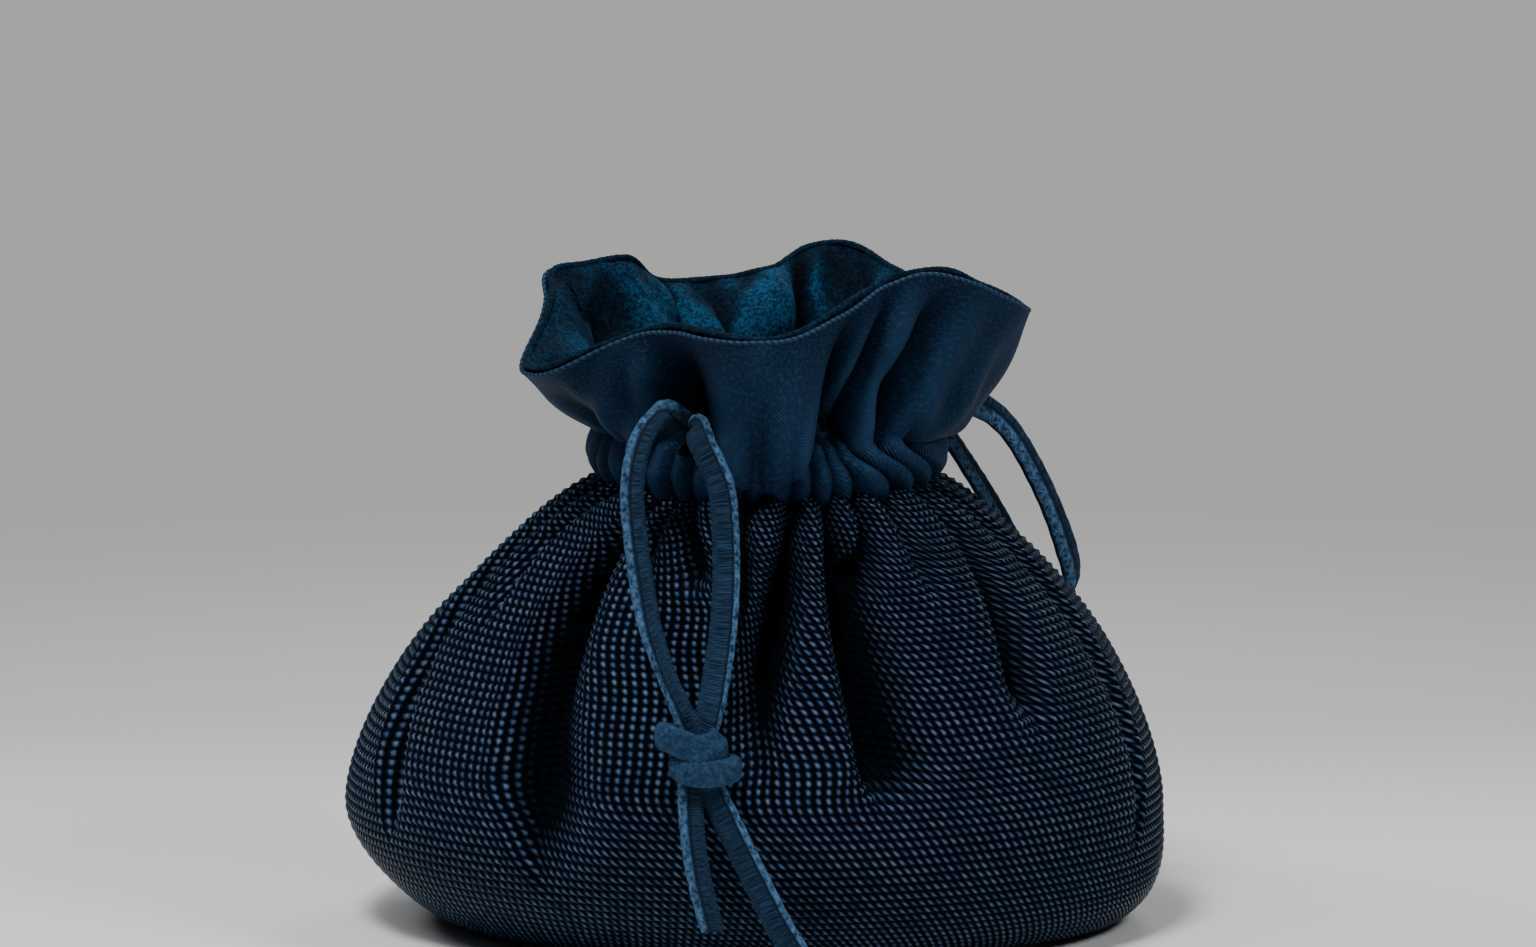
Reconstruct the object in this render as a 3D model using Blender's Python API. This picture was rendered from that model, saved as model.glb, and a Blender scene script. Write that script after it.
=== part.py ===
"""A lined drawstring pouch for jewelry: a gathered woven bag, a satin neck with a ruffled
collar, a velvet lining and two drawstrings that leave the neck at the front and at the back.

Metres, +Z up. The origin is the centre of the flat base, and the front faces -Y. Angles run
round the pouch in degrees: 0 is the front, 90 is +X, 180 is the back."""

import math

import bpy
import numpy as np

# The woven bag
BASE_HALF_WIDTH = 0.0490
BASE_HALF_DEPTH = 0.0320
BULGE_HALF_WIDTH = 0.0625
BULGE_HALF_DEPTH = 0.0500
BULGE_HEIGHT = 0.0190
NECK_HALF_WIDTH = 0.0265
NECK_HALF_DEPTH = 0.0250
NECK_HEIGHT = 0.0684
BULGE_SHIFT = -0.0043
NECK_SHIFT = -0.0023
BASE_ROUNDNESS = 0.65
SHOULDER_BEND = 1.6
SHOULDER_ROUNDNESS = 0.8
WEAVE_THICKNESS = 0.0015
ROW_CROWDING = 1.25

# Its pleats
NECK_FOLD_DEPTH = 0.0040
NECK_FOLD_WIDTH = 0.0030
PLEAT_SWELL = 0.55

# The satin and the velvet
SATIN_THICKNESS = 0.0006
VELVET_THICKNESS = 0.0008
CASING_HEIGHT = 0.0080
COLLAR_BUNCH = 0.0030
COLLAR_CURL = 0.55
DROOP_SKEW = 0.6
COLLAR_FOLD_SPREAD = 0.0020
LINING_INSET = 0.0060
LINING_TUCK_DEPTH = 0.0024
LINING_TUCKS = 14
LINING_FLOOR_INSET = 0.0080

# The drawstrings
CORD_DIAMETER = 0.0026
FRONT_CORD_RISE = 0.0078
CORD_HEADROOM = 0.0009
CORD_SPACING = 0.0034
SLIT_HALF_ANGLE = 12.0
CORD_SET_BACK_ANGLE = 16.0
FRONT_SLIT_ANGLE = -22.0
BACK_SLIT_ANGLE = 128.0
SLIT_EDGE_ANGLE = 2.0
SLIT_LOW = 0.0058
SLIT_HIGH = 0.0125
KNOT_WIDTH = 0.0115
KNOT_DEPTH = 0.0080
KNOT_HEIGHT = 0.0092
KNOT_TAPER = 0.45

# What keeps neighbours apart
CLEARANCE = 0.0003

# How finely the cloth is cut into faces
COLUMNS = 76
BODY_ROWS = 9
RUFFLE_ROWS = 5
SLIT_TOP_ROW = 4
RING_POINTS = 33
ROUTE_STEPS = 24
KNOT_ROWS = 6
KNOT_SIDES = 16

# Each pleat of the bag: angle at the neck, half way down and at its end, the height where it
# ends, its extra depth on the way and its half width. Lengths are in millimetres.
PLEATS = (
    (-68, -65, -60, 12, 4.5, 8.5),
    (-53, -48, -45, 44, 1.5, 5.5),
    (-43, -43, -30, 8, 7.5, 10.5),
    (-31, -27, -25, 50, 1.5, 4.5),
    (-19, -16, -14, 50, 2.5, 4.5),
    (-7, -5, -4, 46, 1.5, 5.0),
    (5, 3, 1, 38, 3.5, 6.0),
    (17, 14, 17, 18, 7.0, 10.0),
    (29, 23, 19, 48, 2.0, 5.0),
    (41, 37, 35, 48, 1.5, 5.0),
    (53, 46, 51, 24, 5.0, 8.5),
    (66, 66, 65, 8, 8.0, 10.5),
    (82, 84, 86, 42, 1.5, 6.0),
    (97, 101, 100, 12, 5.0, 9.5),
    (112, 113, 114, 44, 1.5, 5.5),
    (126, 127, 124, 14, 5.5, 9.5),
    (141, 142, 144, 44, 1.5, 5.5),
    (156, 154, 158, 10, 6.5, 10.0),
    (171, 172, 174, 40, 2.5, 5.5),
    (186, 188, 187, 16, 5.0, 9.5),
    (201, 202, 203, 46, 1.5, 5.5),
    (216, 215, 219, 10, 6.0, 10.0),
    (231, 232, 233, 44, 1.5, 5.5),
    (246, 248, 244, 14, 5.0, 9.5),
    (262, 266, 268, 38, 1.2, 6.0),
    (277, 281, 280, 26, 1.8, 7.0),
)

# The collar's rim: angle, distance from the neck's axis, height above the neck's seam, and how
# far the cloth droops over the casing. Lengths are in millimetres.
RIM = (
    (-180, 30.0, 27.2, 1.0),
    (-158, 28.0, 26.0, 0.5),
    (-140, 28.0, 27.0, 0.5),
    (-124, 26.5, 31.0, 0.0),
    (-115, 30.5, 30.6, 0.5),
    (-106, 34.5, 30.0, 1.5),
    (-96, 33.6, 26.8, 1.0),
    (-88, 34.4, 23.6, 0.5),
    (-77, 37.8, 18.4, 0.5),
    (-68, 38.0, 17.9, 0.5),
    (-59, 37.0, 19.2, 0.5),
    (-48, 34.2, 22.6, 0.5),
    (-37, 31.4, 25.4, 0.0),
    (-26, 30.8, 26.2, 0.0),
    (-16, 33.0, 25.8, 2.0),
    (-5, 34.4, 25.4, 4.0),
    (6, 32.4, 25.6, 4.0),
    (21, 29.2, 28.4, 1.0),
    (38, 27.4, 31.8, 0.5),
    (48, 30.0, 33.6, 1.0),
    (56, 32.6, 33.4, 2.0),
    (67, 35.4, 30.8, 3.0),
    (84, 39.4, 26.2, 3.0),
    (98, 36.0, 24.8, 1.5),
    (114, 30.5, 24.4, 0.5),
    (129, 31.5, 25.6, 1.0),
    (146, 35.0, 27.8, 2.0),
    (160, 37.0, 30.6, 2.0),
    (171, 35.0, 30.0, 1.5),
)

# The collar's inward folds between its lobes: angle at the casing, angle at the rim, depth and
# half width in millimetres.
COLLAR_FOLDS = (
    (-22, -28, 5.0, 9.0),
    (23, 30, 5.0, 8.0),
    (40, 47, 4.0, 6.0),
    (-92, -90, 3.0, 8.0),
    (-126, -124, 4.0, 8.0),
    (-158, -156, 4.0, 8.0),
    (184, 186, 4.0, 8.0),
    (112, 113, 5.0, 9.0),
    (134, 133, 4.0, 8.0),
)

# The drawstrings' free stretches, each as points (x, y, z) in millimetres from the casing down
FRONT_LEFT_ROUTE = (
    (-12.3, -19.6, 77.2), (-14.2, -23.8, 79.6), (-17.6, -28.8, 82.6), (-20.8, -32.2, 79.6),
    (-22.3, -33.9, 73.5), (-22.2, -35.1, 67.5), (-21.3, -37.6, 60.5), (-19.8, -41.6, 52.8),
    (-17.0, -46.2, 45.4), (-14.6, -49.9, 40.4),
)
FRONT_RIGHT_ROUTE = (
    (-9.3, -20.9, 77.0), (-11.3, -25.2, 77.9), (-12.6, -30.2, 80.6), (-12.0, -34.2, 78.8),
    (-9.3, -36.2, 73.0), (-8.6, -37.2, 67.5), (-8.4, -39.2, 60.5), (-8.8, -42.8, 52.8),
    (-9.9, -46.6, 45.4), (-11.0, -49.9, 40.4),
)
KNOT_PLACE = (-12.8, -51.6, 34.9)
FRONT_SHORT_TAIL_ROUTE = (
    (-13.6, -52.2, 29.7), (-13.6, -53.2, 24.0), (-13.0, -53.6, 18.0), (-12.2, -53.4, 12.0),
    (-11.4, -52.8, 6.4),
)
FRONT_LONG_TAIL_ROUTE = (
    (-10.4, -52.4, 29.5), (-7.4, -53.8, 23.6), (-4.0, -54.2, 16.6), (-0.4, -54.2, 9.4),
    (3.4, -54.8, 3.6), (6.2, -57.4, 1.6),
)
BACK_RIGHT_ROUTE = (
    (16.9, 11.4, 73.7), (22.6, 14.8, 75.8), (28.8, 19.2, 77.0), (34.6, 23.4, 72.8),
    (39.9, 27.0, 63.6), (43.8, 30.0, 53.7), (45.2, 34.2, 46.6), (42.8, 37.8, 41.3),
)
BACK_LEFT_ROUTE = (
    (13.9, 14.6, 73.7), (18.8, 19.6, 75.6), (24.2, 24.6, 72.6), (29.2, 28.0, 65.2),
    (34.0, 31.2, 56.7), (37.2, 34.6, 49.0), (38.2, 37.6, 41.2),
)
BACK_KNOT_PLACE = (40.2, 39.0, 35.4)
BACK_SHORT_TAIL_ROUTE = (
    (38.4, 39.4, 30.1), (38.8, 41.2, 24.0), (39.4, 42.2, 17.0), (39.8, 42.4, 10.0),
)
BACK_LONG_TAIL_ROUTE = (
    (42.0, 39.0, 30.0), (44.0, 41.0, 24.0), (45.6, 42.2, 15.0), (46.4, 42.8, 6.8),
    (48.6, 44.6, 1.6),
)

MM = 0.001
SATIN_START = NECK_HEIGHT + CLEARANCE
CORD_RADIUS = CORD_DIAMETER / 2
CORD_POINT_SPACING = 2 * CORD_DIAMETER


def fresh_scene():
    """Remove whatever the scene holds, so that the pouch stands alone."""
    for old in list(bpy.data.objects):
        bpy.data.objects.remove(old, do_unlink=True)


def cloth_material(name, colour, roughness, sheen):
    """A cloth material: its colour, how rough it is and how much soft sheen it has."""
    material = bpy.data.materials.new(name)
    material.use_nodes = True
    shader = material.node_tree.nodes["Principled BSDF"]
    shader.inputs["Base Color"].default_value = (*colour, 1.0)
    shader.inputs["Roughness"].default_value = roughness
    shader.inputs["Metallic"].default_value = 0.0
    shader.inputs["Sheen Weight"].default_value = sheen
    material.diffuse_color = (*colour, 1.0)
    return material


def ease(share):
    """A smooth step from 0 to 1."""
    share = np.clip(share, 0.0, 1.0)
    return share * share * (3.0 - 2.0 * share)


def around(table, column, angle):
    """One column of a table that goes round the pouch, as a smooth closed curve of the angle."""
    knots = np.array([row[0] for row in table], float)
    values = np.array([row[column] for row in table], float)
    knots = np.concatenate([knots[-2:] - 360.0, knots, knots[:2] + 360.0])
    values = np.concatenate([values[-2:], values, values[:2]])
    slopes = (values[2:] - values[:-2]) / (knots[2:] - knots[:-2])
    knots, values = knots[1:-1], values[1:-1]
    angle = (angle - knots[0]) % 360.0 + knots[0]
    cell = np.clip(np.searchsorted(knots, angle, side="right") - 1, 0, len(knots) - 2)
    span = knots[cell + 1] - knots[cell]
    u = (angle - knots[cell]) / span
    low = values[cell] * (1 + 2 * u) + slopes[cell] * span * u
    high = values[cell + 1] * (3 - 2 * u) - slopes[cell + 1] * span * (1 - u)
    return low * (1 - u) ** 2 + high * u**2


def envelope(height):
    """Half width, half depth and sideways shift of the full bag at each height."""
    below = np.clip(height / BULGE_HEIGHT, 0.0, 1.0)
    above = np.clip((height - BULGE_HEIGHT) / (NECK_HEIGHT - BULGE_HEIGHT), 0.0, 1.0)
    fullness = (1.0 - (1.0 - below) ** 2) ** BASE_ROUNDNESS
    slimness = 1.0 - (1.0 - above**SHOULDER_BEND) ** SHOULDER_ROUNDNESS
    half_width = BASE_HALF_WIDTH + (BULGE_HALF_WIDTH - BASE_HALF_WIDTH) * fullness
    half_depth = BASE_HALF_DEPTH + (BULGE_HALF_DEPTH - BASE_HALF_DEPTH) * fullness
    half_width = half_width + (NECK_HALF_WIDTH - BULGE_HALF_WIDTH) * slimness
    half_depth = half_depth + (NECK_HALF_DEPTH - BULGE_HALF_DEPTH) * slimness
    shift = BULGE_SHIFT * ease(below) + (NECK_SHIFT - BULGE_SHIFT) * ease(above)
    return half_width, half_depth, shift


def turned(angle, middle):
    """Angle from a middle angle, between -180 and 180."""
    return (angle - middle + 180.0) % 360.0 - 180.0


def crease(distance, half_width):
    """A fold's section: 1 in its sharp valley, 0 at its half width and beyond."""
    return np.clip(1.0 - np.abs(distance) / half_width, 0.0, 1.0) ** 2


def pleat_depth(angle, height, radius):
    """How far the bag's pleats pull its wall inwards."""
    depth = np.zeros(np.broadcast(angle, height).shape)
    for top, middle, low, end, extra, half_width in PLEATS:
        down = np.clip((NECK_HEIGHT - height) / (NECK_HEIGHT - end * MM), 0.0, 1.0)
        path = top * (1 - down) * (1 - 2 * down) + 4 * middle * down * (1 - down)
        path = path + low * down * (2 * down - 1)
        reach = NECK_FOLD_DEPTH * (1 - down) ** 2 + extra * MM * np.sin(math.pi * down**PLEAT_SWELL)
        width = NECK_FOLD_WIDTH + (half_width * MM - NECK_FOLD_WIDTH) * np.sin(math.pi / 2 * down)
        distance = np.radians(turned(angle, path)) * radius
        depth += reach * crease(distance, width)
    return depth


def bag_surface(angle, height, inset=0.0):
    """Points of the woven bag's outer surface, or of a surface that far inside it."""
    half_width, half_depth, shift = envelope(height)
    radius = (half_width + half_depth) / 2
    pulled = pleat_depth(angle, height, radius) + inset
    turn = np.radians(angle)
    x = shift + (half_width - pulled) * np.sin(turn)
    y = -(half_depth - pulled) * np.cos(turn)
    return np.stack([x, y, np.broadcast_to(height, x.shape)], axis=-1)


def collar_surface(angle, share):
    """Points of the sheet between the satin and the velvet: share 0 is the neck seam, 1 the rim."""
    rim_distance = around(RIM, 1, angle) * MM
    rim_rise = around(RIM, 2, angle) * MM
    droop = around(RIM, 3, angle) * MM
    casing_share = CASING_HEIGHT / rim_rise
    flare = np.clip((share - casing_share) / (1 - casing_share), 0.0, 1.0)
    fullness = droop / (droop + COLLAR_BUNCH)
    outward = flare ** (1.0 - COLLAR_CURL * fullness)
    height = SATIN_START + rim_rise * share - droop * np.sin(math.pi * flare**DROOP_SKEW) ** 2
    half_width = NECK_HALF_WIDTH - CLEARANCE
    half_depth = NECK_HALF_DEPTH - CLEARANCE
    half_width = half_width + (rim_distance - half_width) * outward
    half_depth = half_depth + (rim_distance - half_depth) * outward
    radius = (half_width + half_depth) / 2
    pulled = np.zeros(radius.shape)
    for pleat in PLEATS:
        distance = np.radians(turned(angle, pleat[0])) * radius
        reach = NECK_FOLD_DEPTH * (1 - flare) ** 2
        width = NECK_FOLD_WIDTH + COLLAR_FOLD_SPREAD * flare
        pulled = np.maximum(pulled, reach * crease(distance, width))
    for low, high, depth, fold_width in COLLAR_FOLDS:
        path = low + (high - low) * flare
        distance = np.radians(turned(angle, path)) * radius
        reach = depth * MM * np.sin(math.pi * flare**DROOP_SKEW)
        pulled = pulled + reach * crease(distance, fold_width * MM)
    turn = np.radians(angle)
    x = NECK_SHIFT + (half_width - pulled) * np.sin(turn)
    y = -(half_depth - pulled) * np.cos(turn)
    return np.stack([x, y, height], axis=-1)


def outward_normals(grid):
    """Unit normals of a grid of rows that each close on themselves, pointing out of the bag."""
    across = np.roll(grid, -1, axis=1) - np.roll(grid, 1, axis=1)
    along = np.gradient(grid, axis=0)
    normal = np.cross(across, along)
    return normal / np.linalg.norm(normal, axis=-1, keepdims=True)


def skin_faces(rows, first, flip):
    """The cells (row, column) between the rows of one skin, each as two triangles. Every skin is
    cut along the same diagonal, so that nested skins stay parallel."""
    row, column = np.meshgrid(np.arange(rows - 1), np.arange(COLUMNS), indexing="ij")
    after = (column + 1) % COLUMNS
    near_low = row * COLUMNS + column
    far_low = row * COLUMNS + after
    far_high = (row + 1) * COLUMNS + after
    near_high = (row + 1) * COLUMNS + column
    one = np.stack([near_low, far_low, far_high], axis=-1)
    two = np.stack([near_low, far_high, near_high], axis=-1)
    pair = np.stack([one, two], axis=2)
    return first + (pair[..., ::-1] if flip else pair)


def shell_object(name, outer, inner, material, holes=()):
    """A closed wall between an outer and an inner grid of the same size, with its edges joined.

    Rows run upwards. Each hole is (first row, last row, first column, last column) of the cells
    that it leaves out."""
    rows = outer.shape[0]
    points = np.concatenate([outer.reshape(-1, 3), inner.reshape(-1, 3)])
    inside = rows * COLUMNS
    kept = np.ones((rows - 1, COLUMNS), bool)
    for row_from, row_to, column_from, column_to in holes:
        columns = np.arange(column_from, column_to + 1) % COLUMNS
        kept[row_from : row_to + 1, columns] = False
    faces = skin_faces(rows, 0, False)[kept].reshape(-1, 3).tolist()
    faces += skin_faces(rows, inside, True)[kept].reshape(-1, 3).tolist()
    column = np.arange(COLUMNS)
    after = (column + 1) % COLUMNS
    bottom = np.stack([after, column, column + inside, after + inside], axis=-1)
    top = (rows - 1) * COLUMNS + np.stack([column, after, after + inside, column + inside], -1)
    faces += bottom.tolist() + top.tolist()
    for row_from, row_to, column_from, column_to in holes:
        for at in range(column_from, column_to + 1):
            here, there = at % COLUMNS, (at + 1) % COLUMNS
            low = np.array([row_from * COLUMNS + here, row_from * COLUMNS + there])
            high = np.array([(row_to + 1) * COLUMNS + there, (row_to + 1) * COLUMNS + here])
            faces.append([*low, *(low[::-1] + inside)])
            faces.append([*high, *(high[::-1] + inside)])
        for row in range(row_from, row_to + 1):
            left = column_from % COLUMNS
            right = (column_to + 1) % COLUMNS
            side = np.array([(row + 1) * COLUMNS + left, row * COLUMNS + left])
            other = np.array([row * COLUMNS + right, (row + 1) * COLUMNS + right])
            faces.append([*side, *(side[::-1] + inside)])
            faces.append([*other, *(other[::-1] + inside)])
    return mesh_object(name, points, faces, material)


def mesh_object(name, points, faces, material):
    mesh = bpy.data.meshes.new(name)
    mesh.from_pydata(points.tolist(), [], faces)
    mesh.materials.append(material)
    mesh.shade_smooth()
    made = bpy.data.objects.new(name, mesh)
    bpy.context.scene.collection.objects.link(made)
    return made


def column_angles():
    return np.arange(COLUMNS) * 360.0 / COLUMNS - 180.0


def column_near(angle):
    return int(round((angle + 180.0) / 360.0 * COLUMNS))


def bag_rows():
    """Heights of the bag's rows, closer together near the floor, where the wall turns under."""
    return NECK_HEIGHT * np.linspace(0.0, 1.0, BODY_ROWS + 1)[:, None] ** ROW_CROWDING


def make_woven_body(material):
    """The gathered wall, from the floor to the neck seam. Its lower edge turns under."""
    outer = bag_surface(column_angles()[None, :], bag_rows())
    inner = outer - outward_normals(outer) * WEAVE_THICKNESS
    inner[0] = outer[0] - level(outward_normals(outer)[0]) * WEAVE_THICKNESS
    inner[-1] = outer[-1] - level(outward_normals(outer)[-1]) * WEAVE_THICKNESS
    return shell_object("woven_body", outer, inner, material)


def level(directions):
    """Directions laid flat, so that an edge stays in its own plane."""
    flat = directions * np.array([1.0, 1.0, 0.0])
    return flat / np.linalg.norm(flat, axis=-1, keepdims=True)


def disc_object(name, half_width, half_depth, low, high, material):
    """A flat oval panel."""
    turn = np.radians(column_angles())
    ring = np.stack([half_width * np.sin(turn), -half_depth * np.cos(turn)], axis=-1)
    under = np.column_stack([ring, np.full(COLUMNS, low)])
    over = np.column_stack([ring, np.full(COLUMNS, high)])
    points = np.concatenate([under, over])
    column = np.arange(COLUMNS)
    after = (column + 1) % COLUMNS
    sides = np.stack([column, after, after + COLUMNS, column + COLUMNS], axis=-1)
    faces = sides.tolist()
    faces.append(column[::-1].tolist())
    faces.append((column + COLUMNS).tolist())
    return mesh_object(name, points, faces, material)


def make_base_panel(material):
    """The woven oval that closes the bag, inside the wall's lower edge and flush with it."""
    wall = WEAVE_THICKNESS + CLEARANCE
    return disc_object(
        "base_panel",
        BASE_HALF_WIDTH - wall,
        BASE_HALF_DEPTH - wall,
        0.0,
        WEAVE_THICKNESS,
        material,
    )


def collar_shares(angle):
    """Rows of the collar, as shares of its height at each angle. The first ones keep the casing's
    own heights, up to the top of the slits, and the rest go evenly on to the rim."""
    rise = around(RIM, 2, angle) * MM
    casing = np.array([0.0, 0.5, 1.0]) * SLIT_LOW
    slit = np.array([0.5 * (SLIT_LOW + SLIT_HIGH), SLIT_HIGH])
    low = np.concatenate([casing, slit])[:, None] / rise
    high = np.linspace(0.0, 1.0, RUFFLE_ROWS + 1)[1:, None]
    top = low[-1:]
    return np.concatenate([low, top + (1 - top) * high])


def slit_cells(slit_angle, first_row, last_row):
    """The cells that a drawstring's slit leaves out of the satin."""
    first = column_near(slit_angle - SLIT_HALF_ANGLE)
    last = column_near(slit_angle + SLIT_HALF_ANGLE) - 1
    return first_row, last_row, first, last


def make_satin_collar(material):
    """The satin: the casing's outer wall and the outside of the ruffle."""
    angle = column_angles()
    middle = collar_surface(angle[None, :], collar_shares(angle))
    normal = outward_normals(middle)
    inner = middle + normal * CLEARANCE / 2
    outer = middle + normal * (CLEARANCE / 2 + SATIN_THICKNESS)
    flat = level(normal[0])
    inner[0] = middle[0] + flat * CLEARANCE / 2
    outer[0] = middle[0] + flat * (CLEARANCE / 2 + SATIN_THICKNESS)
    holes = [
        slit_cells(FRONT_SLIT_ANGLE, SLIT_TOP_ROW - 2, SLIT_TOP_ROW - 1),
        slit_cells(BACK_SLIT_ANGLE, SLIT_TOP_ROW - 3, SLIT_TOP_ROW - 2),
    ]
    return shell_object("satin_collar", outer, inner, material, holes)


def ring_half_sizes():
    """Half width and half depth of the drawstrings' rings, inside the satin's deepest gathers."""
    room = NECK_FOLD_DEPTH + SATIN_THICKNESS + 2 * CLEARANCE + CORD_RADIUS
    return NECK_HALF_WIDTH - room, NECK_HALF_DEPTH - room


def oval_row(angle, half_width, half_depth, height):
    turn = np.radians(angle)
    x = half_width * np.sin(turn)
    y = -half_depth * np.cos(turn)
    return np.stack([x, y, np.full(x.shape, height)], axis=-1)


def make_velvet_lining(material):
    """The lining bag: it backs the ruffle, passes inside the casing and lies along the wall."""
    angle = column_angles()
    collar = collar_surface(angle[None, :], collar_shares(angle))
    normal = outward_normals(collar)
    ruffle_outer = (collar - normal * CLEARANCE / 2)[SLIT_TOP_ROW:]
    ruffle_inner = (collar - normal * (CLEARANCE / 2 + VELVET_THICKNESS))[SLIT_TOP_ROW:]
    belly_rows = bag_rows()[1:-1]
    belly_outer = bag_surface(angle[None, :], belly_rows, LINING_INSET)
    belly_inner = bag_surface(angle[None, :], belly_rows, LINING_INSET + VELVET_THICKNESS)
    over_the_cords = FRONT_CORD_RISE + CORD_RADIUS + CORD_HEADROOM
    neck_outer = lining_neck([0.0, over_the_cords], 0.0)
    neck_inner = lining_neck([0.0, over_the_cords], VELVET_THICKNESS)
    floor_outer = lining_floor(WEAVE_THICKNESS + CLEARANCE, 0.0)
    floor_inner = lining_floor(WEAVE_THICKNESS + CLEARANCE + VELVET_THICKNESS, VELVET_THICKNESS)
    outer = np.concatenate([floor_outer, belly_outer, neck_outer, ruffle_outer])
    inner = np.concatenate([floor_inner, belly_inner, neck_inner, ruffle_inner])
    return cup_object("velvet_lining", outer, inner, material)


def lining_neck(rises, inset):
    """Rows of the lining inside the drawstrings' rings, tucked all round."""
    angle = column_angles()
    ring_width, ring_depth = ring_half_sizes()
    room = CORD_RADIUS + CLEARANCE
    tucks = LINING_TUCK_DEPTH / 2 * (1 + np.cos(np.radians(angle * LINING_TUCKS)))
    half_width = ring_width - room - tucks - inset
    half_depth = ring_depth - room - tucks - inset
    rows = [oval_row(angle, half_width, half_depth, SATIN_START + rise) for rise in rises]
    return np.array(rows) + np.array([NECK_SHIFT, 0.0, 0.0])


def lining_floor(height, inset):
    half_width = BASE_HALF_WIDTH - LINING_FLOOR_INSET - inset
    half_depth = BASE_HALF_DEPTH - LINING_FLOOR_INSET - inset
    return oval_row(column_angles(), half_width, half_depth, height)[None]


def cup_object(name, outer, inner, material):
    """A closed cup: an outer and an inner skin joined at the rim, each with its own floor."""
    rows = outer.shape[0]
    inside = rows * COLUMNS
    points = np.concatenate([outer.reshape(-1, 3), inner.reshape(-1, 3)])
    column = np.arange(COLUMNS)
    after = (column + 1) % COLUMNS
    top = (rows - 1) * COLUMNS + np.stack([column, after, after + inside, column + inside], -1)
    faces = skin_faces(rows, 0, False).reshape(-1, 3).tolist()
    faces += skin_faces(rows, inside, True).reshape(-1, 3).tolist()
    faces += top.tolist()
    faces.append(column[::-1].tolist())
    faces.append((column + inside).tolist())
    return mesh_object(name, points, faces, material)


def smooth_route(points, spacing):
    """Points on a smooth curve through a route, evenly spaced."""
    points = np.array(points, float)
    ends = [2 * points[0] - points[1], *points, 2 * points[-1] - points[-2]]
    ends = np.array(ends)
    fine = []
    for at in range(1, len(ends) - 2):
        u = np.linspace(0.0, 1.0, ROUTE_STEPS, endpoint=False)[:, None]
        before, start, stop, beyond = ends[at - 1 : at + 3]
        bend = start * 2 + (stop - before) * u
        bend = bend + (2 * before - 5 * start + 4 * stop - beyond) * u**2
        bend = bend + (3 * start - before - 3 * stop + beyond) * u**3
        fine.append(bend / 2)
    fine = np.concatenate([*fine, points[-1:]])
    steps = np.linalg.norm(np.diff(fine, axis=0), axis=1)
    run = np.concatenate([[0.0], np.cumsum(steps)])
    count = max(3, int(round(run[-1] / spacing)) + 1)
    wanted = np.linspace(0.0, run[-1], count)
    return np.stack([np.interp(wanted, run, fine[:, axis]) for axis in range(3)], axis=-1)


def cord_object(name, points, material):
    """A round cord along points in metres, with closed ends."""
    curve = bpy.data.curves.new(name, "CURVE")
    curve.dimensions = "3D"
    curve.bevel_depth = CORD_RADIUS
    curve.bevel_resolution = 2
    curve.use_fill_caps = True
    spline = curve.splines.new("POLY")
    spline.points.add(len(points) - 1)
    for spot, place in zip(spline.points, points):
        spot.co = (*place, 1.0)
    curve.materials.append(material)
    made = bpy.data.objects.new(name, curve)
    bpy.context.scene.collection.objects.link(made)
    return made


def ring_point(angle, height):
    half_width, half_depth = ring_half_sizes()
    turn = math.radians(angle)
    return np.array(
        [NECK_SHIFT + half_width * math.sin(turn), -half_depth * math.cos(turn), height]
    )


def make_cord_in_casing(name, slit_angle, height, material):
    """The stretch that runs round the neck inside the casing, open at its slit."""
    set_back = SLIT_HALF_ANGLE + CORD_SET_BACK_ANGLE
    angles = np.linspace(slit_angle + set_back, slit_angle + 360.0 - set_back, RING_POINTS)
    points = [ring_point(angle, height) for angle in angles]
    return cord_object(name, points, material)


def make_strand(name, slit_angle, side, height, route, material):
    """A strand from the casing: it meets the ring's end, turns out of the slit and hangs."""
    gap = math.degrees(2 * CLEARANCE / ring_half_sizes()[1])
    start = SLIT_HALF_ANGLE + CORD_SET_BACK_ANGLE - gap
    turns = np.linspace(start, SLIT_HALF_ANGLE + SLIT_EDGE_ANGLE, 3)
    inside = [ring_point(slit_angle + side * turn, height) / MM for turn in turns]
    points = smooth_route([*inside, *route], CORD_POINT_SPACING / MM) * MM
    return cord_object(name, points, material)


def make_tail(name, route, material):
    return cord_object(name, smooth_route(route, CORD_POINT_SPACING / MM) * MM, material)


def make_knot(name, place, material):
    """The knot's outer shape: a squat barrel, flat where the cords enter and leave."""
    mesh = bpy.data.meshes.new(name)
    sides = KNOT_SIDES
    turn = np.arange(sides) * 2 * math.pi / sides
    points = []
    for rise in np.linspace(-1.0, 1.0, KNOT_ROWS):
        girth = (1.0 - KNOT_TAPER * rise**4) ** 0.5
        points.append(
            np.stack(
                [
                    KNOT_WIDTH / 2 * girth * np.cos(turn),
                    KNOT_DEPTH / 2 * girth * np.sin(turn),
                    np.full(sides, KNOT_HEIGHT / 2 * rise),
                ],
                axis=-1,
            )
        )
    points = np.concatenate(points) + np.array(place) * MM
    faces = []
    for row in range(KNOT_ROWS - 1):
        for side in range(sides):
            after = (side + 1) % sides
            low, high = row * sides, (row + 1) * sides
            faces.append([low + side, low + after, high + after, high + side])
    faces.append(list(range(sides))[::-1])
    faces.append([(KNOT_ROWS - 1) * sides + side for side in range(sides)])
    mesh.from_pydata(points.tolist(), [], faces)
    mesh.materials.append(material)
    mesh.shade_smooth()
    made = bpy.data.objects.new(name, mesh)
    bpy.context.scene.collection.objects.link(made)
    return made


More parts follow.
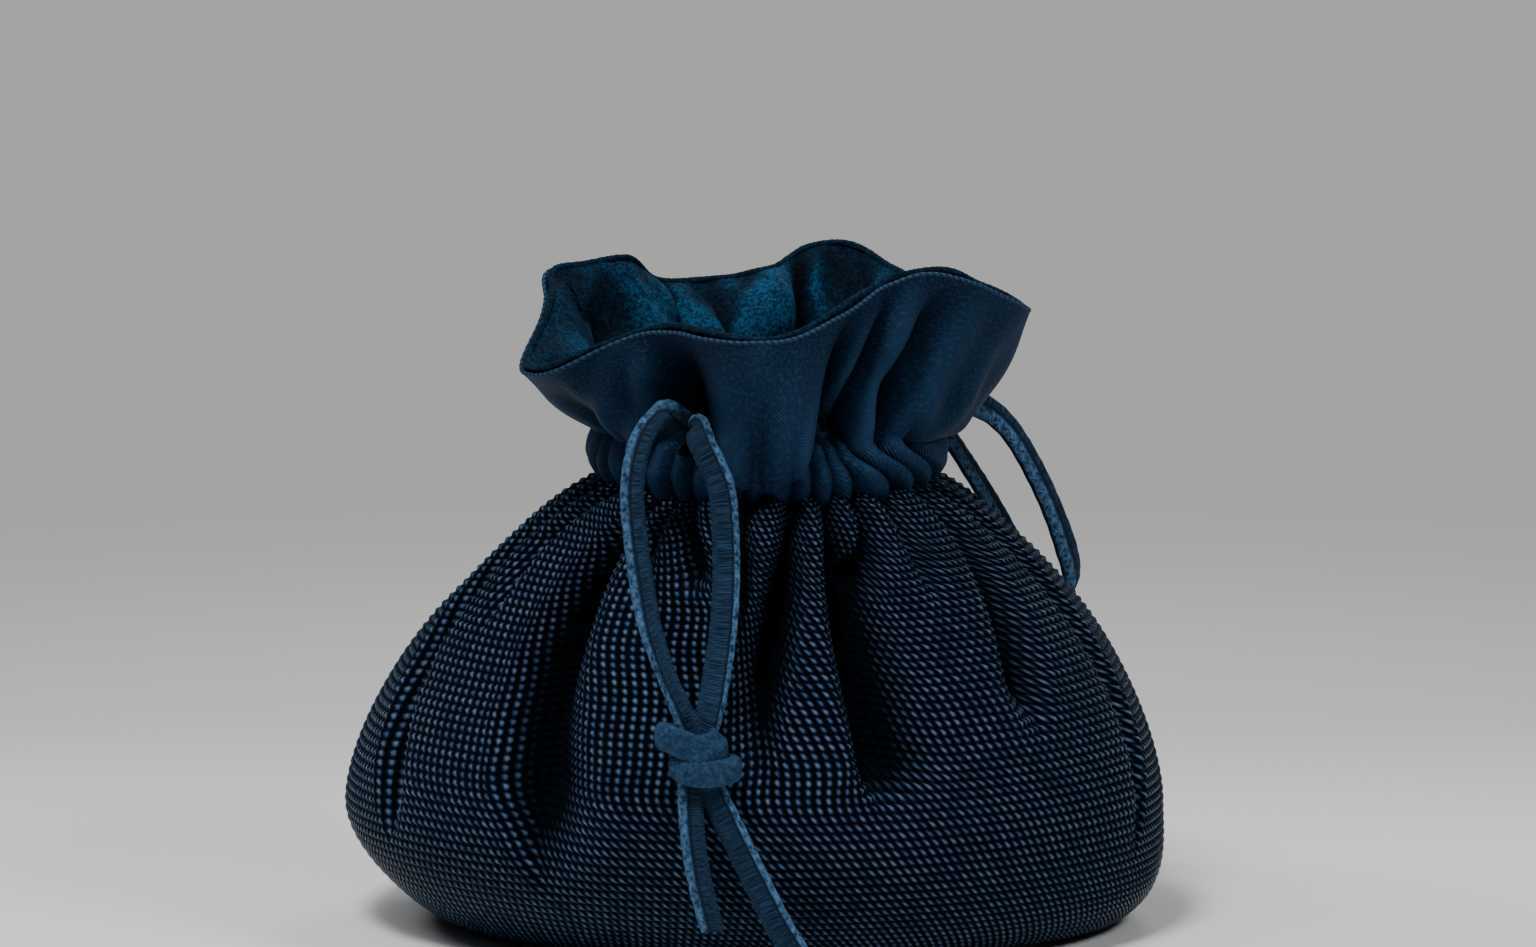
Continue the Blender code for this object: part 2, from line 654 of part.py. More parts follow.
def main():
    fresh_scene()
    weave = cloth_material("navy_weave", (0.010, 0.020, 0.045), 0.55, 0.2)
    satin = cloth_material("navy_satin", (0.016, 0.045, 0.100), 0.60, 0.3)
    velvet = cloth_material("teal_velvet", (0.006, 0.030, 0.065), 0.85, 0.8)
    cord = cloth_material("velvet_cord", (0.018, 0.055, 0.110), 0.75, 0.6)
    front_height = SATIN_START + FRONT_CORD_RISE
    back_height = front_height - CORD_SPACING
    make_woven_body(weave)
    make_base_panel(weave)
    make_satin_collar(satin)
    make_velvet_lining(velvet)
    make_cord_in_casing("front_cord_in_casing", FRONT_SLIT_ANGLE, front_height, cord)
    make_cord_in_casing("back_cord_in_casing", BACK_SLIT_ANGLE, back_height, cord)
    make_strand("front_left_strand", FRONT_SLIT_ANGLE, -1, front_height, FRONT_LEFT_ROUTE, cord)
    make_strand("front_right_strand", FRONT_SLIT_ANGLE, 1, front_height, FRONT_RIGHT_ROUTE, cord)
    make_knot("front_knot", KNOT_PLACE, cord)
    make_tail("front_short_tail", FRONT_SHORT_TAIL_ROUTE, cord)
    make_tail("front_long_tail", FRONT_LONG_TAIL_ROUTE, cord)
    make_strand("back_right_strand", BACK_SLIT_ANGLE, -1, back_height, BACK_RIGHT_ROUTE, cord)
    make_strand("back_left_strand", BACK_SLIT_ANGLE, 1, back_height, BACK_LEFT_ROUTE, cord)
    make_knot("back_knot", BACK_KNOT_PLACE, cord)
    make_tail("back_short_tail", BACK_SHORT_TAIL_ROUTE, cord)
    make_tail("back_long_tail", BACK_LONG_TAIL_ROUTE, cord)


main()
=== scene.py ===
# %% [markdown]
# # A lined drawstring pouch for jewelry
# The real pouch is three cloths sewn together: a bag of coarse, glossy, dark navy weave, a navy
# satin neck that stands up in a ruffle, and a velvet lining that shows inside the mouth. Two flat
# velvet tapes run round inside the neck. Pulled tight, they gather all the cloth into folds.
#
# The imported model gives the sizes. This script dresses it: each cloth becomes a fine surface
# with its own weave, and each tape becomes a flat band with its knot.

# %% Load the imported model
import math

import bpy
import numpy as np
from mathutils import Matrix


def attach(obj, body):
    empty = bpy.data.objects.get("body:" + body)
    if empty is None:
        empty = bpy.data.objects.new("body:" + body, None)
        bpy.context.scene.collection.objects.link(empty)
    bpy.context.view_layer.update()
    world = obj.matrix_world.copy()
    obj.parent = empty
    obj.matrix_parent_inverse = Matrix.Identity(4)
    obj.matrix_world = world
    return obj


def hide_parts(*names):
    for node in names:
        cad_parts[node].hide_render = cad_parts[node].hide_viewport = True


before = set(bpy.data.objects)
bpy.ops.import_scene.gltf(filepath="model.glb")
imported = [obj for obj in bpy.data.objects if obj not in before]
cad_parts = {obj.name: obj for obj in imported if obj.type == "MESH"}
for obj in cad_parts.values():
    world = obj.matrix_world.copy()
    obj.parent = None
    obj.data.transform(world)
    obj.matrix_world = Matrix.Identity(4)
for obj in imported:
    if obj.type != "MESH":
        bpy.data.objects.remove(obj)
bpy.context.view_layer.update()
MM = 0.001
print("nodes in the packed model:", len(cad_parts))

# %% [markdown]
# ## The camera
# The photograph looks at the front of the pouch from slightly above, through a long lens, so
# that near and far folds have nearly the same scale. A long lens far away does the same here:
# the distance sets the perspective, and the lens then sets the size in the picture.

# %% Camera
CAMERA_TILT = math.radians(9.0)
CAMERA_DISTANCE = 1.5
LENS = 230.7
LOOK_AT = np.array([-0.0022, 0.0, 0.0689])
camera = bpy.data.objects.new("camera", bpy.data.cameras.new("camera"))
camera.data.lens = LENS
camera.data.sensor_width = 36.0
back_off = np.array([0.0, -math.cos(CAMERA_TILT), math.sin(CAMERA_TILT)]) * CAMERA_DISTANCE
camera.location = LOOK_AT + back_off
camera.rotation_euler = (math.pi / 2 - CAMERA_TILT, 0.0, 0.0)
bpy.context.scene.collection.objects.link(camera)
bpy.context.scene.camera = camera
print("camera at", np.round(np.array(camera.location), 4))

# %% [markdown]
# ## From grids of points to meshes
# Every piece below is a grid: rows of points that run round the pouch or along a tape. Making
# the faces from whole arrays is quick, and the same arrays give each face corner its place on
# the cloth, which the weave patterns read later as a UV map.


# %% Faces of a grid
def patch(index, uv):
    """Quads of a grid of point numbers: each joins a point, the next one across, the one above
    that and the one above the first. Returns them with the cloth place of each corner."""
    faces = np.stack([index[:-1, :-1], index[:-1, 1:], index[1:, 1:], index[1:, :-1]], axis=-1)
    corners = np.stack([uv[:-1, :-1], uv[:-1, 1:], uv[1:, 1:], uv[1:, :-1]], axis=-2)
    return faces.reshape(-1, 4), corners.reshape(-1, 4, 2)


def fan(ring, middle, uv):
    """Triangles from a closed ring of point numbers to one middle point."""
    after = np.roll(ring, -1)
    faces = np.stack([ring, after, np.full(ring.shape, middle)], axis=-1)
    corners = np.broadcast_to(np.asarray(uv, float), (len(ring), 3, 2))
    return faces, corners


def add_piece(name, points, parts, material):
    """A mesh object from points and the faces of its parts, riding on the pouch's one body."""
    mesh = bpy.data.meshes.new(name)
    faces = [face for quads, _ in parts for face in quads.tolist()]
    mesh.from_pydata(np.reshape(points, (-1, 3)).tolist(), [], faces)
    corners = np.concatenate([np.reshape(part_uv, (-1, 2)) for _, part_uv in parts])
    mesh.uv_layers.new(name="cloth").data.foreach_set("uv", corners.ravel())
    mesh.shade_smooth()
    mesh.materials.append(material)
    piece = bpy.data.objects.new(name, mesh)
    bpy.context.scene.collection.objects.link(piece)
    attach(piece, "root")
    print(name, "has", len(faces), "faces")
    return piece


def mark_points(piece, name, *parts):
    """Store one number at each point of a piece, for its finish to read by name. The numbers
    come in parts, in the order of the piece's points."""
    values = np.concatenate([np.ravel(part) for part in parts])
    layer = piece.data.attributes.new(name, "FLOAT", "POINT")
    layer.data.foreach_set("value", values.astype(np.float32))


def closed_wall(outer, inner, uv, inner_rows, holes=()):
    """The parts of a thin wall that closes round the pouch: its outer skin, its inner skin, the
    edges that join them, and a rim round each hole (first row, last row, first column, last)."""
    rows, columns = outer.shape[:2]
    wrapped = np.arange(columns + 1) % columns
    front = np.arange(rows)[:, None] * columns + wrapped
    back = rows * columns + np.arange(inner.shape[0])[:, None] * columns + wrapped
    back_uv = uv[inner_rows]
    kept = np.ones((rows - 1, columns), bool)
    for r0, r1, c0, c1 in holes:
        kept[r0:r1, c0:c1] = False
    skins = []
    for quads, corners in (patch(front, uv), patch(back[::-1], back_uv[::-1])):
        if holes:
            keep = kept if not skins else kept[::-1]
            quads, corners = quads[keep.ravel()], corners[keep.ravel()]
        skins.append((quads, corners))
    skins.append(patch(np.stack([back[0], front[0]]), np.stack([uv[0], uv[0]])))
    skins.append(patch(np.stack([front[-1], back[-1]]), np.stack([uv[-1], uv[-1]])))
    for r0, r1, c0, c1 in holes:
        across = slice(c0, c1 + 1)
        upward = slice(r0, r1 + 1)
        low = np.stack([front[r0, across], back[r0, across]])
        high = np.stack([back[r1, across], front[r1, across]])
        left = np.stack([back[upward, c0], front[upward, c0]])
        right = np.stack([front[upward, c1], back[upward, c1]])
        skins.append(patch(low, np.stack([uv[r0, across]] * 2)))
        skins.append(patch(high, np.stack([uv[r1, across]] * 2)))
        skins.append(patch(left, np.stack([uv[upward, c0]] * 2)))
        skins.append(patch(right, np.stack([uv[upward, c1]] * 2)))
    return skins


def ring_normals(grid):
    """Unit normals of a grid that closes round its columns: across it times up it."""
    across = np.roll(grid, -1, axis=1) - np.roll(grid, 1, axis=1)
    normal = np.cross(across, np.gradient(grid, axis=0))
    return normal / np.linalg.norm(normal, axis=-1, keepdims=True)


def running_length(points):
    """Distance along a line of points, from its first one."""
    return np.concatenate([[0.0], np.cumsum(np.linalg.norm(np.diff(points, axis=0), axis=1))])


print("helpers ready")

# %% [markdown]
# ## The bag's shape
# The bag is a full round belly that closes in to the neck. Its outline is one curve of the
# height, and its pleats are valleys pressed into that outline. Each pleat starts at the neck,
# where all are narrow and close together, and runs down until the belly has pulled it flat. A
# table with one line per pleat is easy to compare with the photograph, fold by fold.

# %% Outline of the bag
BASE_HALF = np.array([0.0490, 0.0320])
BULGE_HALF = np.array([0.0625, 0.0500])
NECK_HALF = np.array([0.0265, 0.0250])
BULGE_HEIGHT = 0.0190
NECK_HEIGHT = 0.0684
BULGE_SHIFT = -0.0043
NECK_SHIFT = -0.0023
BELLY_ROUNDNESS = 0.65
SHOULDER_BEND = 1.6
SHOULDER_ROUNDNESS = 0.8


def ease(share):
    """A smooth step from 0 to 1: three times the square less twice the cube."""
    share = np.clip(share, 0.0, 1.0)
    return share * share * (3.0 - 2.0 * share)


def outline(height):
    """Half width, half depth and sideways shift of the full bag at each height. Up to the bulge
    the oval grows from the base's size by 1 less the square of the share that is left, raised to
    the belly's roundness. Above it shrinks to the neck's size by 1 less the shoulder's power of
    1 less the bent share of the way up."""
    below = np.clip(height / BULGE_HEIGHT, 0.0, 1.0)
    above = np.clip((height - BULGE_HEIGHT) / (NECK_HEIGHT - BULGE_HEIGHT), 0.0, 1.0)
    full = (1.0 - (1.0 - below) ** 2) ** BELLY_ROUNDNESS
    slim = 1.0 - (1.0 - above**SHOULDER_BEND) ** SHOULDER_ROUNDNESS
    half = BASE_HALF[:, None] + (BULGE_HALF - BASE_HALF)[:, None] * full.ravel()
    half = half + (NECK_HALF - BULGE_HALF)[:, None] * slim.ravel()
    shift = BULGE_SHIFT * ease(below) + (NECK_SHIFT - BULGE_SHIFT) * ease(above)
    return half[0].reshape(full.shape), half[1].reshape(full.shape), shift


# %% Pleats of the bag
# Each line: the angle of the valley at the neck, one third and two thirds down and at its end
# in degrees (0 is the front, 90 the right); the height of its end, its extra depth and its half
# width in millimetres; its lean, where -1 makes the left side steep and 1 the right side; the
# shares of its length over which it deepens and over which it closes again; and how broad its
# bottom is, from 1 for a sharp crease to 2 for a round hollow.
PLEATS = (
    (-75, -78, -70, -61, 15, 6.5, 5.5, -0.3, 0.45, 0.25, 1.5),
    (-60, -65, -62, -59, 46, 5.0, 4.0, 0.2, 0.4, 0.6, 1.0),
    (-40, -42, -37, -31, 9, 10.5, 11.5, -0.7, 0.35, 0.35, 1.5),
    (-33, -31, -28, -26, 52, 3.0, 4.0, 0.0, 0.4, 0.6, 1.0),
    (-26, -22, -17, -16, 55, 8.0, 4.5, 0.0, 0.5, 0.3, 1.4),
    (-8, -6, -5, -4, 40, 4.5, 4.0, 0.0, 0.4, 0.6, 1.0),
    (8, 3, 1, 3, 22, 10.0, 6.5, 0.2, 0.35, 0.6, 1.7),
    (20, 16, 17, 18, 25, 11.5, 7.5, -0.55, 0.35, 0.15, 1.7),
    (30, 28, 23, 20, 54, 8.0, 4.0, -0.2, 0.5, 0.3, 1.3),
    (42, 39, 37, 36, 50, 3.0, 4.5, 0.0, 0.4, 0.6, 1.0),
    (60, 56, 52, 48, 32, 8.0, 6.5, 0.45, 0.35, 0.3, 1.5),
    (72, 75, 74, 64, 10, 5.5, 4.2, 0.4, 0.3, 0.5, 1.5),
    (89, 93, 96, 98, 42, 3.0, 5.0, 0.0, 0.4, 0.6, 1.0),
    (101, 106, 108, 106, 12, 8.0, 7.5, 0.3, 0.4, 0.4, 1.6),
    (114, 117, 119, 120, 44, 3.5, 5.5, 0.0, 0.4, 0.6, 1.0),
    (127, 129, 127, 124, 14, 9.0, 7.5, -0.3, 0.4, 0.4, 1.6),
    (141, 142, 143, 144, 44, 3.5, 5.5, 0.0, 0.4, 0.6, 1.0),
    (156, 154, 155, 158, 10, 10.0, 7.5, 0.3, 0.4, 0.4, 1.6),
    (171, 172, 173, 174, 40, 4.5, 5.5, 0.0, 0.4, 0.6, 1.0),
    (186, 188, 189, 187, 16, 9.0, 7.5, -0.3, 0.4, 0.3, 1.6),
    (201, 202, 203, 203, 46, 3.5, 5.5, 0.0, 0.4, 0.6, 1.0),
    (216, 215, 217, 219, 10, 10.0, 7.5, 0.3, 0.4, 0.4, 1.6),
    (231, 232, 233, 233, 44, 3.5, 5.5, 0.0, 0.4, 0.6, 1.0),
    (245, 244, 242, 243, 14, 8.0, 7.5, -0.3, 0.4, 0.4, 1.6),
    (258, 259, 260, 262, 42, 3.0, 5.5, 0.0, 0.4, 0.6, 1.0),
    (271, 269, 268, 270, 40, 3.0, 5.5, 0.0, 0.4, 0.6, 1.0),
)
NECK_FOLD_DEPTH = 0.0058
NECK_FOLD_WIDTH = 0.0031
PLEAT_END_WIDTH = 0.25
LEAN_SPREAD = 0.0006


def turned(angle, middle):
    """The angle measured from a middle one, between -180 and 180 degrees."""
    return (angle - middle + 180.0) % 360.0 - 180.0


def crease(distance, half_width, broad=1.0):
    """A fold's section, 1 in its valley and 0 from its half width on: the square of 1 less the
    share of the half width, itself raised to the power broad."""
    share = np.clip(np.abs(distance) / half_width, 0.0, 1.0)
    return (1.0 - share**broad) ** 2


def pleat_depth(angle, height, radius):
    """How far the pleats press the wall in: for each, its depth at that height times its section
    across the valley's path, a cubic through its four angles."""
    depth = np.zeros(np.broadcast(angle, height).shape)
    for top, upper, lower, low, end, extra, half_width, lean, deepening, closing, broad in PLEATS:
        down = np.clip((NECK_HEIGHT - height) / (NECK_HEIGHT - end * MM), 0.0, 1.0)
        path = top * (1 - 3 * down) * (2 - 3 * down) * (1 - down) / 2
        path = path + 4.5 * upper * down * (2 - 3 * down) * (1 - down)
        path = path + 4.5 * lower * down * (3 * down - 1) * (1 - down)
        path = path + low * down * (3 * down - 1) * (3 * down - 2) / 2
        reach = NECK_FOLD_DEPTH * (1 - down) ** 2
        reach = reach + extra * MM * ease(down / deepening) * ease((1 - down) / closing)
        width = NECK_FOLD_WIDTH + (half_width * MM - NECK_FOLD_WIDTH) * np.sin(math.pi / 2 * down)
        open_share = ease((1 - down) / closing) ** 0.5
        width = width * (PLEAT_END_WIDTH + (1 - PLEAT_END_WIDTH) * open_share)
        distance = np.radians(turned(angle, path)) * radius
        width = width * (1.0 - lean * down**0.5 * np.tanh(distance / LEAN_SPREAD))
        depth += reach * crease(distance, width, 1.0 + (broad - 1.0) * down**0.5)
    return depth


def bag_wall(angle, height, inset=0.0):
    """Points of the bag's outside: the outline's oval at each height, less the pleats."""
    half_width, half_depth, shift = outline(height)
    pulled = pleat_depth(angle, height, (half_width + half_depth) / 2) + inset
    turn = np.radians(angle)
    x = shift + (half_width - pulled) * np.sin(turn)
    y = -(half_depth - pulled) * np.cos(turn)
    return np.stack([x, y, np.broadcast_to(height, x.shape)], axis=-1)


print("pleats round the neck:", len(PLEATS))

# %% [markdown]
# ## The woven cloth
# The cloth is a coarse weave: rows of fat, slanting, glossy bumps, each row set half a bump
# aside from the next. The rows are real relief, so that they also show along the edge of the
# bag, and the finish later splits each row into its bumps. The cloth isn't stretched by its
# pleats, so every row is cut into equal lengths of cloth: the columns then crowd round a valley
# just as the real yarns do.

# %% Where the rows and columns of the weave lie
BUMP_PITCH = 0.00138
WEAVE_COLUMNS = 264
ACROSS_STEPS = 2
UP_STEPS = 2
YARN_STIFFNESS = 0.22
SMOOTH_ROWS = 9
SECTION_POINTS = 2881
profile_height = np.linspace(0.0, NECK_HEIGHT, 600)
profile_width, profile_depth, _ = outline(profile_height)
profile = np.stack([(profile_width + profile_depth) / 2, profile_height], axis=-1)
profile_run = running_length(profile)
WEAVE_ROWS = int(round(profile_run[-1] / BUMP_PITCH))
row_run = np.linspace(0.0, profile_run[-1], WEAVE_ROWS * UP_STEPS + 1)
row_height = np.interp(row_run, profile_run, profile_height)
column_count = WEAVE_COLUMNS * ACROSS_STEPS
print("weave:", WEAVE_ROWS, "rows of", WEAVE_COLUMNS, "bumps")


def even_angles(height, count):
    """Angles that cut the bag's section at one height into equal lengths of cloth, moved a little
    towards equal angles, because the yarns are stiff."""
    angle = np.linspace(-180.0, 180.0, SECTION_POINTS)
    run = running_length(bag_wall(angle, np.full(angle.shape, height)))
    crowded = np.interp(np.arange(count) * run[-1] / count, run, angle)
    even = np.arange(count) * 360.0 / count - 180.0
    return crowded + (even - crowded) * YARN_STIFFNESS


wall_angles = np.array([even_angles(height, column_count) for height in row_height])
padded = np.pad(wall_angles, ((SMOOTH_ROWS, SMOOTH_ROWS), (0, 0)), mode="edge")
weights = np.hanning(2 * SMOOTH_ROWS + 3)[1:-1]
row_total = len(wall_angles)
smoothed = sum(padded[k : k + row_total] * weight for k, weight in enumerate(weights))
wall_angles = smoothed / weights.sum()
wall = bag_wall(wall_angles, row_height[:, None])
print("woven rows smoothed over", 2 * SMOOTH_ROWS + 1, "rows")

# %% The rolled top edge
# Above its seam the cloth rolls inwards, which gives each pleat a round top.
LIP_RADIUS = 0.0021
LIP_TURN = (56.0, 168.0)
LIP_STEPS = 8
lip_turn = np.radians(np.linspace(*LIP_TURN, LIP_STEPS))[1:]
lip_start = math.radians(LIP_TURN[0])
top_turn = np.radians(wall_angles[-1])
inward = np.stack([-np.sin(top_turn), np.cos(top_turn)], axis=-1)
lip_in = LIP_RADIUS * (math.cos(lip_start) - np.cos(lip_turn))
lip_up = LIP_RADIUS * (np.sin(lip_turn) - math.sin(lip_start))
lip = np.repeat(wall[-1:], len(lip_turn), axis=0)
lip[..., :2] += lip_in[:, None, None] * inward
lip[..., 2] += lip_up[:, None]
sheet = np.concatenate([wall, lip])
lip_rows = LIP_RADIUS * (lip_turn - lip_start) / BUMP_PITCH
cloth_row = np.concatenate([np.arange(len(wall)) / UP_STEPS, WEAVE_ROWS + lip_rows])
cloth_column = np.arange(column_count + 1) / ACROSS_STEPS
print("rolled edge rises", round(float(lip_up.max()) * 1000, 2), "mm")

# %% Relief of the rows
WALL_THICKNESS = 0.0022
ROW_RELIEF = 0.0004
INNER_ROW_STEP = 8
rib = np.sin(math.pi * (cloth_row % 1.0))
outer = sheet + ring_normals(sheet) * ((rib - 0.5) * ROW_RELIEF)[:, None, None]
inner_rows = np.unique(np.r_[0 : len(sheet) : INNER_ROW_STEP, len(sheet) - 1])
inner = sheet[inner_rows].copy()
inner_turn = np.radians(wall_angles[np.minimum(inner_rows, len(wall) - 1)])
inner[..., 0] -= WALL_THICKNESS * np.sin(inner_turn)
inner[..., 1] += WALL_THICKNESS * np.cos(inner_turn)
inner[0, :, 2] = 0.0
outer[0, :, 2] = 0.0
weave_uv = np.stack(
    np.broadcast_arrays(cloth_column[None] / WEAVE_COLUMNS, cloth_row[:, None] / WEAVE_ROWS), -1
)
print("woven wall grid:", outer.shape)

# %% [markdown]
# ## The satin and velvet collar
# Above the seam the satin and the velvet lie back to back. They rise through the casing, where
# the tapes run, and then flare into a ruffle whose rim waves in and out. One smooth surface
# between the two cloths carries both, so that they follow each other everywhere.

# %% Rim and folds of the collar
# Rim: angle, distance from the neck's middle, height above the seam and droop in millimetres.
RIM = (
    (-180, 30.0, 27.2, 1.0),
    (-158, 28.0, 26.0, 0.5),
    (-140, 28.0, 27.0, 0.5),
    (-124, 26.5, 31.0, 0.0),
    (-115, 30.5, 30.6, 0.5),
    (-106, 34.5, 30.0, 1.5),
    (-96, 33.6, 26.8, 1.0),
    (-88, 34.4, 23.6, 0.5),
    (-77, 37.8, 18.4, 0.5),
    (-68, 38.0, 17.9, 0.5),
    (-59, 37.0, 19.2, 0.5),
    (-48, 34.2, 22.6, 1.5),
    (-37, 31.4, 25.4, 0.5),
    (-26, 30.8, 26.2, 0.0),
    (-16, 33.0, 25.8, 5.5),
    (-5, 34.4, 25.4, 9.5),
    (6, 32.4, 25.6, 9.0),
    (21, 29.2, 28.4, 1.0),
    (38, 27.4, 31.8, 0.5),
    (48, 30.0, 33.6, 1.0),
    (56, 32.6, 33.4, 2.0),
    (67, 35.4, 30.8, 3.0),
    (84, 39.4, 26.2, 3.0),
    (98, 36.0, 24.8, 1.5),
    (114, 30.5, 24.4, 0.5),
    (129, 31.5, 25.6, 1.0),
    (146, 35.0, 27.8, 2.0),
    (160, 37.0, 30.6, 2.0),
    (171, 35.0, 30.0, 1.5),
)
# Folds between the lobes: angle at the casing, angle at the rim, depth and half width.
COLLAR_FOLDS = (
    (-27, -22, 9.0, 9.0),
    (19, 26, 10.5, 5.5),
    (27, 43, 6.5, 3.4),
    (44, 58, 8.0, 5.0),
    (-66, -62, 4.0, 7.0),
    (-92, -90, 4.0, 8.0),
    (-126, -124, 7.0, 8.0),
    (-158, -156, 6.0, 8.0),
    (184, 186, 6.0, 8.0),
    (112, 113, 7.0, 9.0),
    (134, 133, 5.0, 8.0),
)
# Gathers of the casing: angle at the seam, angle at the casing's top, depth and half width.
GATHERS = (
    (-88, -86, 2.5, 4.0), (-76, -74, 3.0, 3.5), (-64, -66, 2.5, 3.5), (-55, -52, 3.0, 3.0),
    (-46, -42, 2.5, 3.0), (-35, -33, 3.0, 2.6), (-27, -24, 2.5, 2.4), (-15, -16, 3.0, 2.6),
    (-8, -5, 2.5, 2.6), (0, -1, 2.8, 3.0), (9, 7, 3.2, 2.6), (16, 14, 3.6, 2.4),
    (24, 20, 3.2, 2.6), (33, 25, 4.0, 3.0), (51, 30, 4.2, 3.2), (64, 42, 3.6, 3.2),
    (78, 56, 4.2, 3.8), (90, 84, 3.0, 4.0), (101, 99, 2.5, 4.0), (113, 112, 3.5, 4.0),
    (124, 126, 2.5, 3.5), (135, 134, 3.0, 4.0), (147, 149, 3.0, 4.0), (160, 158, 2.5, 4.0),
    (171, 172, 3.5, 4.0), (184, 185, 3.0, 4.0), (196, 194, 2.5, 4.0), (208, 210, 3.5, 4.0),
    (221, 220, 3.0, 4.0), (233, 235, 3.0, 4.0), (245, 244, 2.5, 4.0), (257, 259, 3.5, 4.0),
)
SEAM_GAP = 0.0003
SATIN_THICKNESS = 0.0006
VELVET_THICKNESS = 0.0008
CASING_HEIGHT = 0.0072
SATIN_START = NECK_HEIGHT + SEAM_GAP
SEAM_TUCK = 0.0022
TUCK_HEIGHT = 0.004
TUCK_DROP = 0.0012
FOLD_BROADNESS = 1.5
LOBE_BEND = 0.6
DROOP_SWING = 0.55
HALF_DROOP = 0.003
GATHER_FADE = 2.5
GATHER_SPREAD = 3.0
CASING_PUFF = 0.0010
SOFT_WAVES = 0.00055


def around(table, column, angle):
    """One column of a table as a closed smooth curve of the angle: a cubic between each two
    lines, whose slope at a line is that from its neighbour before to its neighbour after."""
    knots = np.array([line[0] for line in table], float)
    values = np.array([line[column] for line in table], float)
    knots = np.concatenate([knots[-2:] - 360.0, knots, knots[:2] + 360.0])
    values = np.concatenate([values[-2:], values, values[:2]])
    slopes = (values[2:] - values[:-2]) / (knots[2:] - knots[:-2])
    knots, values = knots[1:-1], values[1:-1]
    angle = (angle - knots[0]) % 360.0 + knots[0]
    cell = np.clip(np.searchsorted(knots, angle, side="right") - 1, 0, len(knots) - 2)
    span = knots[cell + 1] - knots[cell]
    u = (angle - knots[cell]) / span
    low = values[cell] * (1 + 2 * u) + slopes[cell] * span * u
    high = values[cell + 1] * (3 - 2 * u) - slopes[cell + 1] * span * (1 - u)
    return low * (1 - u) ** 2 + high * u**2


def collar_sheet(angle, share):
    """Points between satin and velvet, share 0 at the seam and 1 at the rim: an oval that opens
    from the neck's size to the rim's distance, less the gathers and the folds between lobes. It
    opens sooner where a lobe droops, is tucked in at its seam and puffed out over the casing, and
    has small soft waves, which are sines of the angle that drift with the height."""
    rim_distance, rise, droop = (around(RIM, k, angle) * MM for k in (1, 2, 3))
    casing = CASING_HEIGHT / rise
    flare = np.clip((share - casing) / (1 - casing), 0.0, 1.0)
    lobe = np.sin(math.pi * flare**LOBE_BEND)
    outward = flare ** (1.0 - DROOP_SWING * droop / (droop + HALF_DROOP))
    height = SATIN_START + rise * share - droop * lobe**2
    half_width, half_depth = NECK_HALF - SEAM_GAP
    half_width = half_width + (rim_distance - half_width) * outward
    half_depth = half_depth + (rim_distance - half_depth) * outward
    radius = (half_width + half_depth) / 2
    up = np.clip(rise * share / CASING_HEIGHT, 0.0, 1.0)
    pulled = np.zeros(radius.shape)
    for low, high, depth, fold_width in GATHERS:
        distance = np.radians(turned(angle, low + (high - low) * ease(up))) * radius
        reach = depth * MM * (1 - flare) ** GATHER_FADE
        gather_width = (fold_width + GATHER_SPREAD * flare) * MM
        pulled = np.maximum(pulled, reach * crease(distance, gather_width))
    for low, high, depth, fold_width in COLLAR_FOLDS:
        distance = np.radians(turned(angle, low + (high - low) * flare)) * radius
        section = crease(distance, fold_width * MM, FOLD_BROADNESS)
        pulled += depth * MM * lobe * section
    tuck = np.clip(1.0 - rise * share / TUCK_HEIGHT, 0.0, 1.0) ** 2
    pulled += SEAM_TUCK * tuck
    height = height - TUCK_DROP * tuck
    pulled -= CASING_PUFF * np.sin(math.pi * up) * (1 - flare)
    turn = np.radians(angle)
    soft = np.sin(turn * 9 + 1.3 + 3.0 * flare) + np.sin(turn * 17 + 5 * flare)
    soft = soft + 0.7 * np.sin(turn * 29 - 7 * flare) * np.sin(turn * 3 + 1)
    pulled += SOFT_WAVES * soft * np.sin(math.pi * flare**0.8)
    x = NECK_SHIFT + (half_width - pulled) * np.sin(turn)
    y = -(half_depth - pulled) * np.cos(turn)
    return np.stack([x, y, height], axis=-1)


def hollow_share(grid, reach, depth):
    """How far each point lies in a hollow, 0 to 1: the mean distance from the neck's axis of its
    neighbours round the ring, less its own distance, over a full depth. A depth below 0 gives
    how far it stands out instead, which is a hollow when seen from the inside."""
    distance = np.hypot(grid[..., 0] - NECK_SHIFT, grid[..., 1])
    weights = np.hanning(2 * reach + 3)[1:-1]
    mean = sum(np.roll(distance, k - reach, axis=1) * w for k, w in enumerate(weights))
    return np.clip((mean / weights.sum() - distance) / depth, 0.0, 1.0)


print("collar:", len(RIM), "rim points,", len(COLLAR_FOLDS), "folds and", len(GATHERS), "gathers")

# %% [markdown]
# ## The satin
# The satin is the outside of the collar, a thin skin on the surface between the two cloths. Each
# drawstring comes out through a slit. A slit could be painted dark, but a real gap lets the tape
# come through it, so the faces there are left out and the gap gets a rim of its own.


